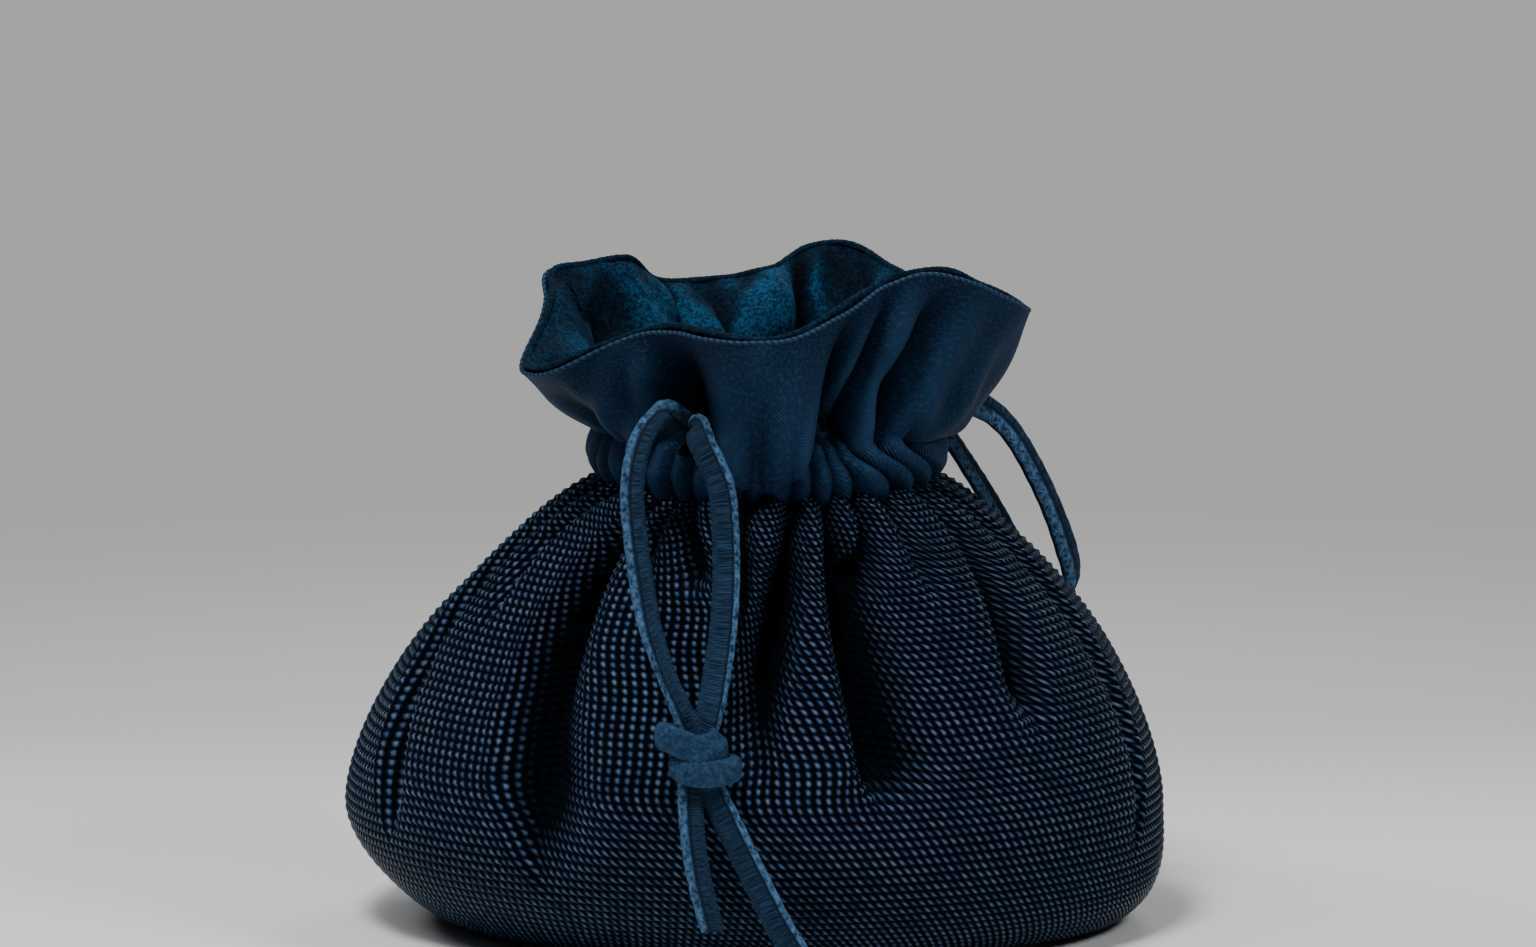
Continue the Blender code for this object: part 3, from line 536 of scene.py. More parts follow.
# %% Satin, with its two slits
SATIN_COLUMNS = 600
SATIN_ROWS = 72
satin_angle = np.arange(SATIN_COLUMNS) * 360.0 / SATIN_COLUMNS - 180.0
satin_share = np.linspace(0.0, 1.0, SATIN_ROWS)
middle_sheet = collar_sheet(satin_angle[None], satin_share[:, None])
sheet_normal = ring_normals(middle_sheet)
satin_outer = middle_sheet + sheet_normal * (SEAM_GAP / 2 + SATIN_THICKNESS)
satin_inner = middle_sheet + sheet_normal * SEAM_GAP / 2
rim_loop = np.concatenate([middle_sheet[-1], middle_sheet[-1, :1]])
rim_length = running_length(rim_loop)[-1]
cut_height = float(running_length(middle_sheet[:, SATIN_COLUMNS // 2])[-1])
satin_uv = np.stack(np.broadcast_arrays(
    np.linspace(0.0, 1.0, SATIN_COLUMNS + 1)[None], satin_share[:, None]), -1)


def slit(middle_angle, half_angle, low, high):
    """Grid cells that a slit takes out, as first and last row and first and last column."""
    rise = float(around(RIM, 2, np.array(middle_angle))) * MM
    rows = [int(round(h / rise * (SATIN_ROWS - 1))) for h in (low, high)]
    columns = [int(round((middle_angle + side * half_angle + 180) / 360 * SATIN_COLUMNS))
               for side in (-1, 1)]
    return (*rows, *columns)


# Each slit: the angle of its middle, half its angle, and its two heights above the seam.
SLITS = ((-22.5, 9.0, 0.0062, 0.0120), (128.0, 9.0, 0.0025, 0.0085))
slits = [slit(*line) for line in SLITS]
print("rim length", round(rim_length * 1000), "mm; satin height", round(cut_height * 1000), "mm")

# %% [markdown]
# ## The velvet lining
# The velvet lies behind the satin of the ruffle, where it hangs in loose folds, is pressed into
# tucks by the drawstrings at the neck, and goes on down along the belly to a floor of its own. It
# is one bag on the real pouch, so it is one grid here: rows from the floor's middle to the rim.

# %% Velvet behind the ruffle
RUFFLE_PART = 44
RUFFLE_START = 0.52
MOUTH_RADIUS = 0.030
VELVET_COLUMNS = SATIN_COLUMNS
ruffle_rows = np.linspace(RUFFLE_START, 1.0, RUFFLE_PART)
velvet_sheet = collar_sheet(satin_angle[None], ruffle_rows[:, None])
velvet_normal = ring_normals(velvet_sheet)
# Loose folds of the velvet: angle, how far they stand in from the wall and half width, in mm.
VELVET_FOLDS = (
    (176, 4.5, 3.5), (163, 3.0, 3.0), (148, 3.5, 4.0), (-166, 3.0, 3.5), (-152, 4.0, 4.0),
    (-138, 3.0, 3.5), (-112, 3.5, 4.0), (-98, 3.0, 4.0), (-78, 3.5, 4.5), (-60, 3.0, 4.0),
    (128, 3.0, 4.0), (106, 3.0, 4.5), (80, 2.5, 4.0),
)
loose = np.zeros(velvet_sheet.shape[:2])
part_up = (ruffle_rows[:, None] - ruffle_rows[0]) / (1.0 - ruffle_rows[0])
for middle, stand, half_width in VELVET_FOLDS:
    sway = middle + 5.0 * np.sin(2.5 * part_up + middle)
    distance = np.radians(turned(satin_angle[None], sway)) * MOUTH_RADIUS
    swell = np.exp(-((distance / (half_width * MM)) ** 2) * 2.0)
    loose += stand * MM * swell * np.sin(math.pi * part_up**1.3) ** 0.8
ruffle_outer = velvet_sheet - velvet_normal * (SEAM_GAP / 2 + loose)[..., None]
ruffle_inner = velvet_sheet - velvet_normal * (SEAM_GAP / 2 + VELVET_THICKNESS + loose)[..., None]
print("loose velvet folds:", len(VELVET_FOLDS))

# %% Velvet through the neck and down along the belly
TAPE_ROOM = 0.0081
NECK_TUCKS = 14
NECK_TUCK_DEPTH = 0.0012
NECK_RISES = np.linspace(0.0, 0.0100, 5)
LINING_INSET = 0.0062
LINING_HEIGHTS = np.linspace(0.004, 0.0635, 16)
LINING_FLOOR_HEIGHT = 0.0018
LINING_FLOOR_HALF = np.array([0.041, 0.024])
LINING_FLOOR_RINGS = (0.05, 0.35, 0.7, 1.0)


def oval(half_width, half_depth, height, shift=0.0):
    """A row of points on an oval at one height."""
    turn = np.radians(satin_angle)
    return np.stack([shift + half_width * np.sin(turn), -half_depth * np.cos(turn),
                     np.full(turn.shape, height)], axis=-1)


def lining_neck(rises, inset):
    """Rows of the lining inside the tapes: the neck's oval less the room that the tapes take and
    less a cosine of the angle, which makes the tucks."""
    tucks = NECK_TUCK_DEPTH * (1 + np.cos(np.radians(satin_angle * NECK_TUCKS)))
    room = TAPE_ROOM + tucks + inset
    half = NECK_HALF[:, None] - room
    return np.array([oval(half[0], half[1], SATIN_START + rise, NECK_SHIFT) for rise in rises])


def lining_skin(inset, ruffle):
    """The whole lining from the middle of its floor up, moved in by its own thickness."""
    floor_height = LINING_FLOOR_HEIGHT + inset
    floor_half = LINING_FLOOR_HALF - inset
    floor = np.array([oval(*(floor_half * size), floor_height) for size in LINING_FLOOR_RINGS])
    belly = bag_wall(satin_angle[None], LINING_HEIGHTS[:, None], LINING_INSET + inset)
    neck = lining_neck(NECK_RISES, inset)
    return np.concatenate([floor, belly, neck, ruffle])


velvet_outer = lining_skin(0.0, ruffle_outer)
velvet_inner = lining_skin(VELVET_THICKNESS, ruffle_inner)
velvet_run = running_length(velvet_outer[:, 0])
velvet_uv = np.stack(np.broadcast_arrays(
    np.linspace(0.0, 1.0, VELVET_COLUMNS + 1)[None], (velvet_run / velvet_run[-1])[:, None]), -1)
print("lining rows:", len(velvet_outer))

# %% [markdown]
# ## Materials
# All the finishes are dark blue cloth, and what tells them apart is where they are light. The
# weave has a painted glint on top of each bump and painted shade, near black, between them. The
# satin is a fine matt twill with a painted highlight along its ridges. The velvet has painted
# shade in its hollows and is patchy where its pile lies one way or the other. Weave, twill and
# stitches follow the cloth's own UV map, so that they bend with it. Clouds and pile have no
# direction and use plain object coordinates.

# %% Node helpers
WHITE = (1.0, 1.0, 1.0)
SHEEN_ROUGHNESS = 0.45


def new_material(name, rough, specular, sheen=0.0, sheen_tint=WHITE, gloss_tint=WHITE):
    """A material, its node tree and its Principled shader. What is the same all over the surface
    is set on the shader's own sockets."""
    material = bpy.data.materials.new(name)
    material.use_nodes = True
    shader = material.node_tree.nodes["Principled BSDF"]
    shader.inputs["Roughness"].default_value = rough
    shader.inputs["Specular IOR Level"].default_value = specular
    shader.inputs["Specular Tint"].default_value = (*gloss_tint, 1.0)
    shader.inputs["Sheen Weight"].default_value = sheen
    shader.inputs["Sheen Roughness"].default_value = SHEEN_ROUGHNESS
    shader.inputs["Sheen Tint"].default_value = (*sheen_tint, 1.0)
    return material, material.node_tree, shader


def node(tree, kind, **values):
    """A node with its settings, and with numbers or links for its inputs by name or number."""
    made = tree.nodes.new(kind)
    inputs = values.pop("inputs", {})
    for key, value in values.items():
        setattr(made, key, value)
    for key, value in inputs.items():
        if isinstance(value, bpy.types.NodeSocket):
            tree.links.new(value, made.inputs[key])
        else:
            made.inputs[key].default_value = value
    return made


def maths(tree, operation, a, b=0.0, c=0.0):
    """What one Math node makes of two or three numbers."""
    return node(tree, "ShaderNodeMath", operation=operation, inputs={0: a, 1: b, 2: c}).outputs[0]


def share_between(tree, value, low, high, smooth=False):
    """How far a value is from low to high, 0 to 1, in a straight or a smooth step."""
    step = "SMOOTHSTEP" if smooth else "LINEAR"
    inputs = {0: value, 1: low, 2: high}
    return node(tree, "ShaderNodeMapRange", interpolation_type=step, inputs=inputs).outputs[0]


def noise(tree, place, scale, detail=2.0):
    """Cloudy noise at a place."""
    inputs = {"Vector": place, "Scale": scale, "Detail": detail}
    return node(tree, "ShaderNodeTexNoise", inputs=inputs).outputs[0]


def marked(tree, name):
    """The number that mark_points stored under a name."""
    return node(tree, "ShaderNodeAttribute", attribute_name=name).outputs["Fac"]


def mixed(tree, factor, a, b):
    """A colour mixed from a to b."""
    made = tree.nodes.new("ShaderNodeMix")
    made.data_type = "RGBA"
    for socket, value in ((made.inputs[0], factor), (made.inputs[6], a), (made.inputs[7], b)):
        if isinstance(value, bpy.types.NodeSocket):
            tree.links.new(value, socket)
        else:
            socket.default_value = value if isinstance(value, float) else (*value, 1.0)
    return made.outputs[2]


def laid_over(tree, mask, strength, under, over):
    """A colour laid over another where a mask is up: the factor is the mask times a strength."""
    return mixed(tree, maths(tree, "MULTIPLY", mask, strength), under, over)


def raised(tree, shader, strength, distance, height):
    """Small relief: a height moves the shader's normal."""
    inputs = {"Strength": strength, "Distance": distance, "Height": height}
    relief = node(tree, "ShaderNodeBump", inputs=inputs)
    tree.links.new(relief.outputs[0], shader.inputs["Normal"])


def new_group(name, inputs, outputs):
    """A shader group whose inputs and outputs are floats, vectors or colours by name."""
    group = bpy.data.node_groups.new(name, "ShaderNodeTree")
    kinds = {"float": "NodeSocketFloat", "vector": "NodeSocketVector", "color": "NodeSocketColor"}
    for label, kind in inputs:
        group.interface.new_socket(label, in_out="INPUT", socket_type=kinds[kind])
    for label, kind in outputs:
        group.interface.new_socket(label, in_out="OUTPUT", socket_type=kinds[kind])
    return group, group.nodes.new("NodeGroupInput"), group.nodes.new("NodeGroupOutput")


def place_group(tree, group, **values):
    """A group placed in a material, with numbers or links for its inputs by name."""
    return node(tree, "ShaderNodeGroup", node_tree=group, inputs=values)


def object_place(tree):
    """The place in space, as the piece's own object coordinates."""
    return node(tree, "ShaderNodeTexCoord").outputs["Object"]


def cloth_place(tree, across, up):
    """The cloth's UV place in cells: its UV map times the number of cells each way."""
    uv = node(tree, "ShaderNodeUVMap", uv_map="cloth")
    inputs = {0: uv.outputs[0], 3: (across, up, 1.0)}
    return node(tree, "ShaderNodeMapping", inputs=inputs).outputs[0]


print("node helpers ready")

# %% [markdown]
# ## A weave of slanting bumps
# On the real cloth each thick yarn shows as a row of slanting, glossy bumps. Modelling them all
# would take far too many faces, so the finish draws them on the rows: it cuts the cloth's place
# into cells, sets every other row half a cell aside, and gives each cell a slanted dome. As a
# group with named inputs it can serve any cloth of this kind.

# %% The weave's bumps as a group
BUMP_HALF_ACROSS = 0.40
BUMP_HALF_UP = 0.60
FIBRE_RATE = 44.0
bumps, group_in, group_out = new_group(
    "slanted_bumps",
    (("Cell", "vector"), ("Slant", "float")),
    (("Height", "float"), ("Random", "float"), ("Fibre", "float")),
)
cell = node(bumps, "ShaderNodeSeparateXYZ", inputs={0: group_in.outputs["Cell"]})
row_number = maths(bumps, "FLOOR", cell.outputs[1])
odd = maths(bumps, "FLOORED_MODULO", row_number, 2.0)
shifted = maths(bumps, "MULTIPLY_ADD", odd, 0.5, cell.outputs[0])
column_number = maths(bumps, "FLOOR", shifted)
up = maths(bumps, "SUBTRACT", maths(bumps, "FRACT", cell.outputs[1]), 0.5)
across = maths(bumps, "SUBTRACT", maths(bumps, "FRACT", shifted), 0.5)
leaning = maths(bumps, "MULTIPLY_ADD", up, group_in.outputs["Slant"], across)
out_across = maths(bumps, "POWER", maths(bumps, "DIVIDE", leaning, BUMP_HALF_ACROSS), 2.0)
out_up = maths(bumps, "POWER", maths(bumps, "DIVIDE", up, BUMP_HALF_UP), 2.0)
inside = maths(bumps, "SUBTRACT", 1.0, maths(bumps, "ADD", out_across, out_up))
dome = maths(bumps, "SQRT", maths(bumps, "MAXIMUM", inside, 0.0))
number = node(bumps, "ShaderNodeCombineXYZ", inputs={0: column_number, 1: row_number})
chance = node(bumps, "ShaderNodeTexWhiteNoise", noise_dimensions="3D", inputs={0: number.outputs[0]})
strand = maths(bumps, "SINE", maths(bumps, "MULTIPLY", leaning, FIBRE_RATE))
for label, value in (("Height", dome), ("Random", chance.outputs[0]), ("Fibre", strand)):
    bumps.links.new(value, group_out.inputs[label])
print("bumps group:", len(bumps.nodes), "nodes")

# %% [markdown]
# ## The woven finish
# The yarns are blue on the bumps, each bump a little different, and nearly black between them,
# which is painted shade. A painted glint lights each crest. Deep in a pleat all of it goes dark,
# which is painted shade too. A lamp alone could make that shade, but so fine a weave needs help, so
# the depth of each pleat is marked on the points and the finish darkens by it.

# %% Woven navy
BUMP_SLANT = 0.62
weave, tree, shader = new_material("woven_navy", 0.42, 0.17, gloss_tint=(0.35, 0.60, 1.0))
place = cloth_place(tree, float(WEAVE_COLUMNS), float(WEAVE_ROWS))
bump_cells = place_group(tree, bumps, Cell=place, Slant=BUMP_SLANT)
bump_height, bump_chance = bump_cells.outputs["Height"], bump_cells.outputs["Random"]
yarn_blue = mixed(tree, bump_chance, (0.011, 0.042, 0.118), (0.036, 0.080, 0.165))
# Painted shade: the colour falls to near black away from each bump's top and in the gaps.
yarn_with_painted_light = mixed(tree, maths(tree, "POWER", bump_height, 3.4), (0.0, 0.0, 0.0001), yarn_blue)
# Painted highlight: a pale glint colour on each bump's crest, stronger on some bumps than others.
crest = share_between(tree, bump_height, 0.84, 1.0)
painted_glint_strength = maths(tree, "MULTIPLY_ADD", bump_chance, 0.6, 0.3)
yarn_with_painted_light = mixed(tree, maths(tree, "MULTIPLY", crest, painted_glint_strength), yarn_with_painted_light, (0.170, 0.270, 0.430))
# Painted shade: the colour goes to near black by the fold mark, deep in the pleats.
fold = marked(tree, "fold")
weave_colour = laid_over(tree, fold, 0.985, yarn_with_painted_light, (0.0001, 0.0003, 0.0008))
tree.links.new(weave_colour, shader.inputs["Base Color"])
gap = maths(tree, "SUBTRACT", 1.0, bump_height)
rough = maths(tree, "MULTIPLY_ADD", bump_chance, 0.14, 0.22)
rough = maths(tree, "MULTIPLY_ADD", maths(tree, "POWER", gap, 2.0), 0.6, rough)
rough = maths(tree, "MULTIPLY_ADD", fold, 0.5, rough)
tree.links.new(rough, shader.inputs["Roughness"])
yarn = maths(tree, "MULTIPLY_ADD", bump_cells.outputs["Fibre"], 0.06, bump_height)
raised(tree, shader, 1.0, 0.0009, yarn)
print("woven_navy:", len(tree.nodes), "nodes")

# %% [markdown]
# ## The satin finish
# The satin is a fine slanting twill, with small lights where single threads catch the lamp. A sine
# of the two cloth directions added together gives the slanting lines. The ridges of the collar get
# a painted highlight and its hollows painted shade, both by marks on the points.

# %% Navy satin twill
FULL_TURN = 6.283
TWILL_PITCH = 0.00045
satin, tree, shader = new_material(
    "satin_twill", 0.55, 0.15, 0.015, (0.55, 0.7, 1.0), gloss_tint=(0.35, 0.65, 1.0))
place = cloth_place(tree, rim_length / TWILL_PITCH, cut_height / TWILL_PITCH)
twill = node(tree, "ShaderNodeSeparateXYZ", inputs={0: place})
slanting = maths(tree, "ADD", twill.outputs[0], twill.outputs[1])
line = maths(tree, "SINE", maths(tree, "MULTIPLY", slanting, FULL_TURN))
spot = object_place(tree)
colour = mixed(tree, noise(tree, spot, 140.0, 4.0), (0.0003, 0.003, 0.012), (0.005, 0.019, 0.052))
colour = mixed(tree, maths(tree, "MULTIPLY_ADD", line, 0.16, 0.16), colour, (0.014, 0.044, 0.105))
thread_lights = share_between(tree, noise(tree, place, 0.75, 3.0), 0.48, 0.68)
colour = laid_over(tree, thread_lights, 0.42, colour, (0.030, 0.084, 0.185))
# Painted highlight on the collar's ridges, by the ridge mark.
colour = laid_over(tree, marked(tree, "ridge"), 0.55, colour, (0.022, 0.066, 0.150))
# Painted shade in the collar's hollows, by the fold mark.
colour = laid_over(tree, marked(tree, "fold"), 0.93, colour, (0.0003, 0.002, 0.006))
tree.links.new(colour, shader.inputs["Base Color"])
grain = noise(tree, spot, 2600.0)
tree.links.new(maths(tree, "MULTIPLY_ADD", grain, 0.2, 0.45), shader.inputs["Roughness"])
raised(tree, shader, 0.6, 0.0001, maths(tree, "MULTIPLY_ADD", grain, 0.8, line))
print("satin_twill:", len(tree.nodes), "nodes")

# %% [markdown]
# ## The velvet finish
# Velvet is a pile of short fibres. It looks dark where one sees down between them and light where
# they lie over, in soft patches with fine bright specks. Real fibres would be far too many, so two
# noises of different size stand for them, and the marked folds give it painted shade in its
# hollows and a painted highlight along its folds.


# %% Velvets
def velvet_material(name, deep, light, sheen, patch_scale, contrast=1.0, painted_fold_light=0.0):
    """A pile cloth from a deep to a light colour. The share is the patches times the specks,
    less in its hollows, which is painted shade, and, where the fold light argument is up, more
    along its folds, which is a painted highlight."""
    material, tree, shader = new_material(name, 0.8, 0.08, sheen, (0.35, 0.7, 1.0))
    spot = object_place(tree)
    patches = noise(tree, spot, patch_scale, 3.0)
    fibres = noise(tree, spot, 2000.0, 3.0)
    lying = maths(tree, "MULTIPLY_ADD", share_between(tree, patches, 0.30, 0.72), 0.7, 0.3)
    specks = share_between(tree, fibres, 0.38, 0.72)
    specks = maths(tree, "MULTIPLY_ADD", specks, contrast, 1.0 - 0.8 * contrast)
    # Painted shade: the light share falls in the hollows, by the fold mark.
    hollows = maths(tree, "MULTIPLY_ADD", marked(tree, "fold"), -0.85, 1.0)
    # Painted highlight: the light share rises along the folds, by the ridge mark.
    ridges = maths(tree, "MULTIPLY_ADD", marked(tree, "ridge"), 1.4 * painted_fold_light,
                   1.0 - 0.5 * painted_fold_light)
    light_share = maths(tree, "MULTIPLY", maths(tree, "MULTIPLY", lying, specks), hollows)
    light_share = maths(tree, "MULTIPLY", light_share, ridges)
    tree.links.new(mixed(tree, light_share, deep, light), shader.inputs["Base Color"])
    raised(tree, shader, 0.7, 0.0004, maths(tree, "MULTIPLY_ADD", fibres, 0.7, patches))
    return material


lining_velvet = velvet_material(
    "teal_velvet", (0.0, 0.0006, 0.002), (0.006, 0.064, 0.150), 0.05, 620.0, painted_fold_light=1.0)
knot_velvet = velvet_material(
    "knot_velvet", (0.004, 0.018, 0.048), (0.038, 0.096, 0.190), 0.04, 900.0, 0.8)
print("velvets:", lining_velvet.name, knot_velvet.name)

# %% [markdown]
# ## The tape's finish
# The drawstrings are velvet too, with a lighter stitched ridge along one side, a groove beside it
# darkened with painted shade, and fine streaks across. The turn round the tape is its first cloth
# direction, so ridge and groove are bands of that turn, and the stitch is a zigzag along the
# second direction. Near the slit the tape gets painted shade, by a mark on its points.

# %% Velvet of the tapes
tape_velvet, tree, shader = new_material("tape_velvet", 0.75, 0.12, 0.02, (0.4, 0.7, 1.0))
place = cloth_place(tree, 1.0, 1.0)
tape_place = node(tree, "ShaderNodeSeparateXYZ", inputs={0: place})
round_turn = maths(tree, "FLOORED_MODULO", tape_place.outputs[0], 1.0)
from_ridge = maths(tree, "ABSOLUTE", maths(tree, "SUBTRACT", round_turn, 0.08))
on_ridge = share_between(tree, from_ridge, 0.140, 0.115, smooth=True)
from_groove = maths(tree, "ABSOLUTE", maths(tree, "SUBTRACT", round_turn, 0.232))
in_groove = share_between(tree, from_groove, 0.020, 0.006, smooth=True)
zigzag = maths(tree, "PINGPONG", maths(tree, "MULTIPLY", tape_place.outputs[1], 3.4), 1.0)
stitch_line = maths(tree, "MULTIPLY_ADD", round_turn, -1.0, 0.04)
from_stitch = maths(tree, "ABSOLUTE", maths(tree, "MULTIPLY_ADD", zigzag, 0.12, stitch_line))
on_stitch = share_between(tree, from_stitch, 0.030, 0.008, smooth=True)
stretched = node(tree, "ShaderNodeMapping", inputs={0: place, 3: (5.0, 42.0, 1.0)}).outputs[0]
streaks = noise(tree, stretched, 1.0, 3.0)
spot = object_place(tree)
fuzz = noise(tree, spot, 2400.0)
bright = share_between(tree, streaks, 0.42, 0.72)
plain = mixed(tree, bright, (0.0010, 0.007, 0.022), (0.026, 0.080, 0.165))
mottled = share_between(tree, noise(tree, spot, 1300.0, 3.0), 0.36, 0.66)
light_ridge = mixed(tree, mottled, (0.006, 0.028, 0.075), (0.085, 0.205, 0.390))
tape_colour = mixed(tree, on_ridge, plain, light_ridge)
tape_colour = laid_over(tree, on_stitch, 0.6, tape_colour, (0.090, 0.200, 0.350))
# Painted shade in the groove beside the ridge.
tape_colour = laid_over(tree, in_groove, 0.75, tape_colour, (0.001, 0.006, 0.014))
# Painted shade near the slit, by the near_slit mark.
tape_colour = laid_over(tree, marked(tree, "near_slit"), 0.85, tape_colour, (0.001, 0.005, 0.012))
tree.links.new(tape_colour, shader.inputs["Base Color"])
pile_height = maths(tree, "ADD", fuzz, streaks)
raised(tree, shader, 0.7, 0.0003, maths(tree, "MULTIPLY_ADD", on_stitch, 0.8, pile_height))
print("tape_velvet:", len(tree.nodes), "nodes")

# %% Thread along the edge
EDGE_PITCH = 0.0011
edge_thread, tree, shader = new_material("edge_thread", 0.6, 0.2)
place = cloth_place(tree, rim_length / EDGE_PITCH, 1.0)
along = node(tree, "ShaderNodeSeparateXYZ", inputs={0: place})
slanting = maths(tree, "ADD", along.outputs[0], along.outputs[1])
marks = maths(tree, "SINE", maths(tree, "MULTIPLY", slanting, FULL_TURN))
mark_share = maths(tree, "MULTIPLY_ADD", marks, 0.5, 0.5)
mark_colour = mixed(tree, mark_share, (0.003, 0.012, 0.030), (0.016, 0.060, 0.135))
tree.links.new(mark_colour, shader.inputs["Base Color"])
print("edge_thread:", len(tree.nodes), "nodes")

# %% [markdown]
# ## Put the cloths in place
# Each dressed cloth stands for its plain solid, which stays in the scene, hidden. The cut
# sizes are estimates of the cloth before it was gathered, from the surface worked out above.

# %% Woven wall
FOLD_START = 0.0020
FOLD_SPAN = 0.0044
woven_wall = add_piece(
    "woven_wall",
    np.concatenate([outer.reshape(-1, 3), inner.reshape(-1, 3)]),
    closed_wall(outer, inner, weave_uv, inner_rows),
    weave,
)
row_half = outline(row_height[:, None])
wall_depth = pleat_depth(wall_angles, row_height[:, None], (row_half[0] + row_half[1]) / 2)
fold_share = np.concatenate([wall_depth, np.repeat(wall_depth[-1:], len(lip_turn), axis=0)])
fold_share = np.clip((fold_share - FOLD_START) / FOLD_SPAN, 0.0, 1.0)
# The weave's finish paints shade by this mark, darkest deep in the pleats.
mark_points(woven_wall, "fold", fold_share, fold_share[inner_rows])
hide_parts("woven_body")

# %% [markdown]
# ## The base panel
# The bag stands on a flat oval of the same weave, sewn in at the bottom of the wall. It is made of
# oval rings that end in a fan of triangles at the middle, on top and underneath.

# %% Base panel
BASE_RINGS = 30
BASE_SEAM = 0.0018
BASE_THICKNESS = 0.0015
base_half = BASE_HALF - BASE_SEAM
ring_size = np.linspace(0.0, 1.0, BASE_RINGS + 1)[1:]
base_top = np.array([oval(*(base_half * size), BASE_THICKNESS) for size in ring_size])
base_low = base_top * np.array([1.0, 1.0, 0.0])
base_uv = base_top[..., :2] / np.array([WEAVE_COLUMNS, WEAVE_ROWS]) / BUMP_PITCH
base_uv = np.concatenate([base_uv, base_uv[:, :1]], axis=1)
ring_points = SATIN_COLUMNS
numbers = np.arange(BASE_RINGS)[:, None] * ring_points + np.arange(ring_points + 1) % ring_points
below = numbers + BASE_RINGS * ring_points
centre = 2 * BASE_RINGS * ring_points
base_parts = [
    patch(numbers[::-1], base_uv[::-1]),
    patch(below, base_uv),
    patch(np.stack([below[-1], numbers[-1]]), np.stack([base_uv[-1]] * 2)),
    fan(numbers[0, :-1], centre, (0.0, 0.0)),
    fan(below[0, :-1][::-1], centre + 1, (0.0, 0.0)),
]
middles = [[0, 0, BASE_THICKNESS], [0, 0, 0.0]]
base_points = np.concatenate([base_top.reshape(-1, 3), base_low.reshape(-1, 3), middles])
base_cloth = add_piece("base_cloth", base_points, base_parts, weave)
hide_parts("base_panel")

# %% Satin ruffle
SATIN_FOLD_REACH = 30
SATIN_HOLLOW_DEPTH = 0.0024
SATIN_RIDGE_DEPTH = -0.0026
satin_ruffle = add_piece(
    "satin_ruffle",
    np.concatenate([satin_outer.reshape(-1, 3), satin_inner.reshape(-1, 3)]),
    closed_wall(satin_outer, satin_inner, satin_uv, np.arange(SATIN_ROWS), slits),
    satin,
)
# The satin's finish paints shade by this hollow mark.
satin_hollow = hollow_share(satin_outer, SATIN_FOLD_REACH, SATIN_HOLLOW_DEPTH)
mark_points(satin_ruffle, "fold", satin_hollow, satin_hollow)
# The satin's finish paints a highlight by this ridge mark.
satin_ridge = hollow_share(satin_outer, SATIN_FOLD_REACH, SATIN_RIDGE_DEPTH)
mark_points(satin_ruffle, "ridge", satin_ridge, satin_ridge)
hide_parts("satin_collar")

# %% Velvet bag
# A fan closes the floor of each skin, so the strip that joins the skins at the bottom is taken out.
VELVET_FOLD_REACH = 22
VELVET_HOLLOW_DEPTH = -0.0014
VELVET_RIDGE_DEPTH = 0.0012
BOTTOM_STRIP = 2
rows = len(velvet_outer)
velvet_parts = closed_wall(velvet_outer, velvet_inner, velvet_uv, np.arange(rows))
del velvet_parts[BOTTOM_STRIP]
outer_pole = 2 * rows * VELVET_COLUMNS
velvet_parts.append(fan(np.arange(VELVET_COLUMNS)[::-1], outer_pole, (0.0, 0.0)))
inner_ring = rows * VELVET_COLUMNS + np.arange(VELVET_COLUMNS)
velvet_parts.append(fan(inner_ring, outer_pole + 1, (0.0, 0.0)))
poles = np.array([velvet_outer[0].mean(axis=0), velvet_inner[0].mean(axis=0)])
velvet_bag = add_piece(
    "velvet_bag",
    np.concatenate([velvet_outer.reshape(-1, 3), velvet_inner.reshape(-1, 3), poles]),
    velvet_parts, lining_velvet,
)
# The velvet's finish paints shade by this hollow mark and a highlight by the ridge mark below.
velvet_hollow = hollow_share(velvet_inner, VELVET_FOLD_REACH, VELVET_HOLLOW_DEPTH)
# All the lining below the ruffle, and the two middle points of its floor, get full painted shade.
velvet_hollow[:-RUFFLE_PART] = 1.0
mark_points(velvet_bag, "fold", velvet_hollow, velvet_hollow, [1.0, 1.0])
velvet_ridge = hollow_share(velvet_inner, VELVET_FOLD_REACH, VELVET_RIDGE_DEPTH)
mark_points(velvet_bag, "ridge", velvet_ridge, velvet_ridge, [0.0, 0.0])
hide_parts("velvet_lining")

# %% [markdown]
# ## The edge of the ruffle
# The satin's rim is overcast with thread, which shows as small slanting marks like a fine rope.
# A thin tube along the rim, with a ridge that winds round it, gives the relief, and its finish
# gives the marks. Behind it the velvet rolls over into a soft edge: a second, thicker tube.

# %% Overcast edge
EDGE_RADIUS = 0.00032
EDGE_STEPS = 1500
EDGE_SIDES = 8
EDGE_SHARES = np.array([0.97, 0.985, 1.0])
EDGE_OUT = 0.6
WINDING_RELIEF = 0.10
edge_angle = np.arange(EDGE_STEPS) * 360.0 / EDGE_STEPS - 180.0
edge_rows = collar_sheet(edge_angle[None], EDGE_SHARES[:, None])
edge_normal = ring_normals(edge_rows)[-1]
edge_middle = edge_rows[-1] + edge_normal * (SEAM_GAP / 2 + SATIN_THICKNESS * EDGE_OUT)
edge_up = edge_rows[-1] - edge_rows[0]
edge_up = edge_up / np.linalg.norm(edge_up, axis=-1, keepdims=True)
edge_run = np.linspace(0.0, 1.0, EDGE_STEPS + 1)
side_turn = np.arange(EDGE_SIDES) * 2 * math.pi / EDGE_SIDES
winding = np.sin(edge_run[:-1, None] * 2 * math.pi * round(rim_length / EDGE_PITCH) + side_turn)
edge_radius = EDGE_RADIUS * (1.0 + WINDING_RELIEF * winding)
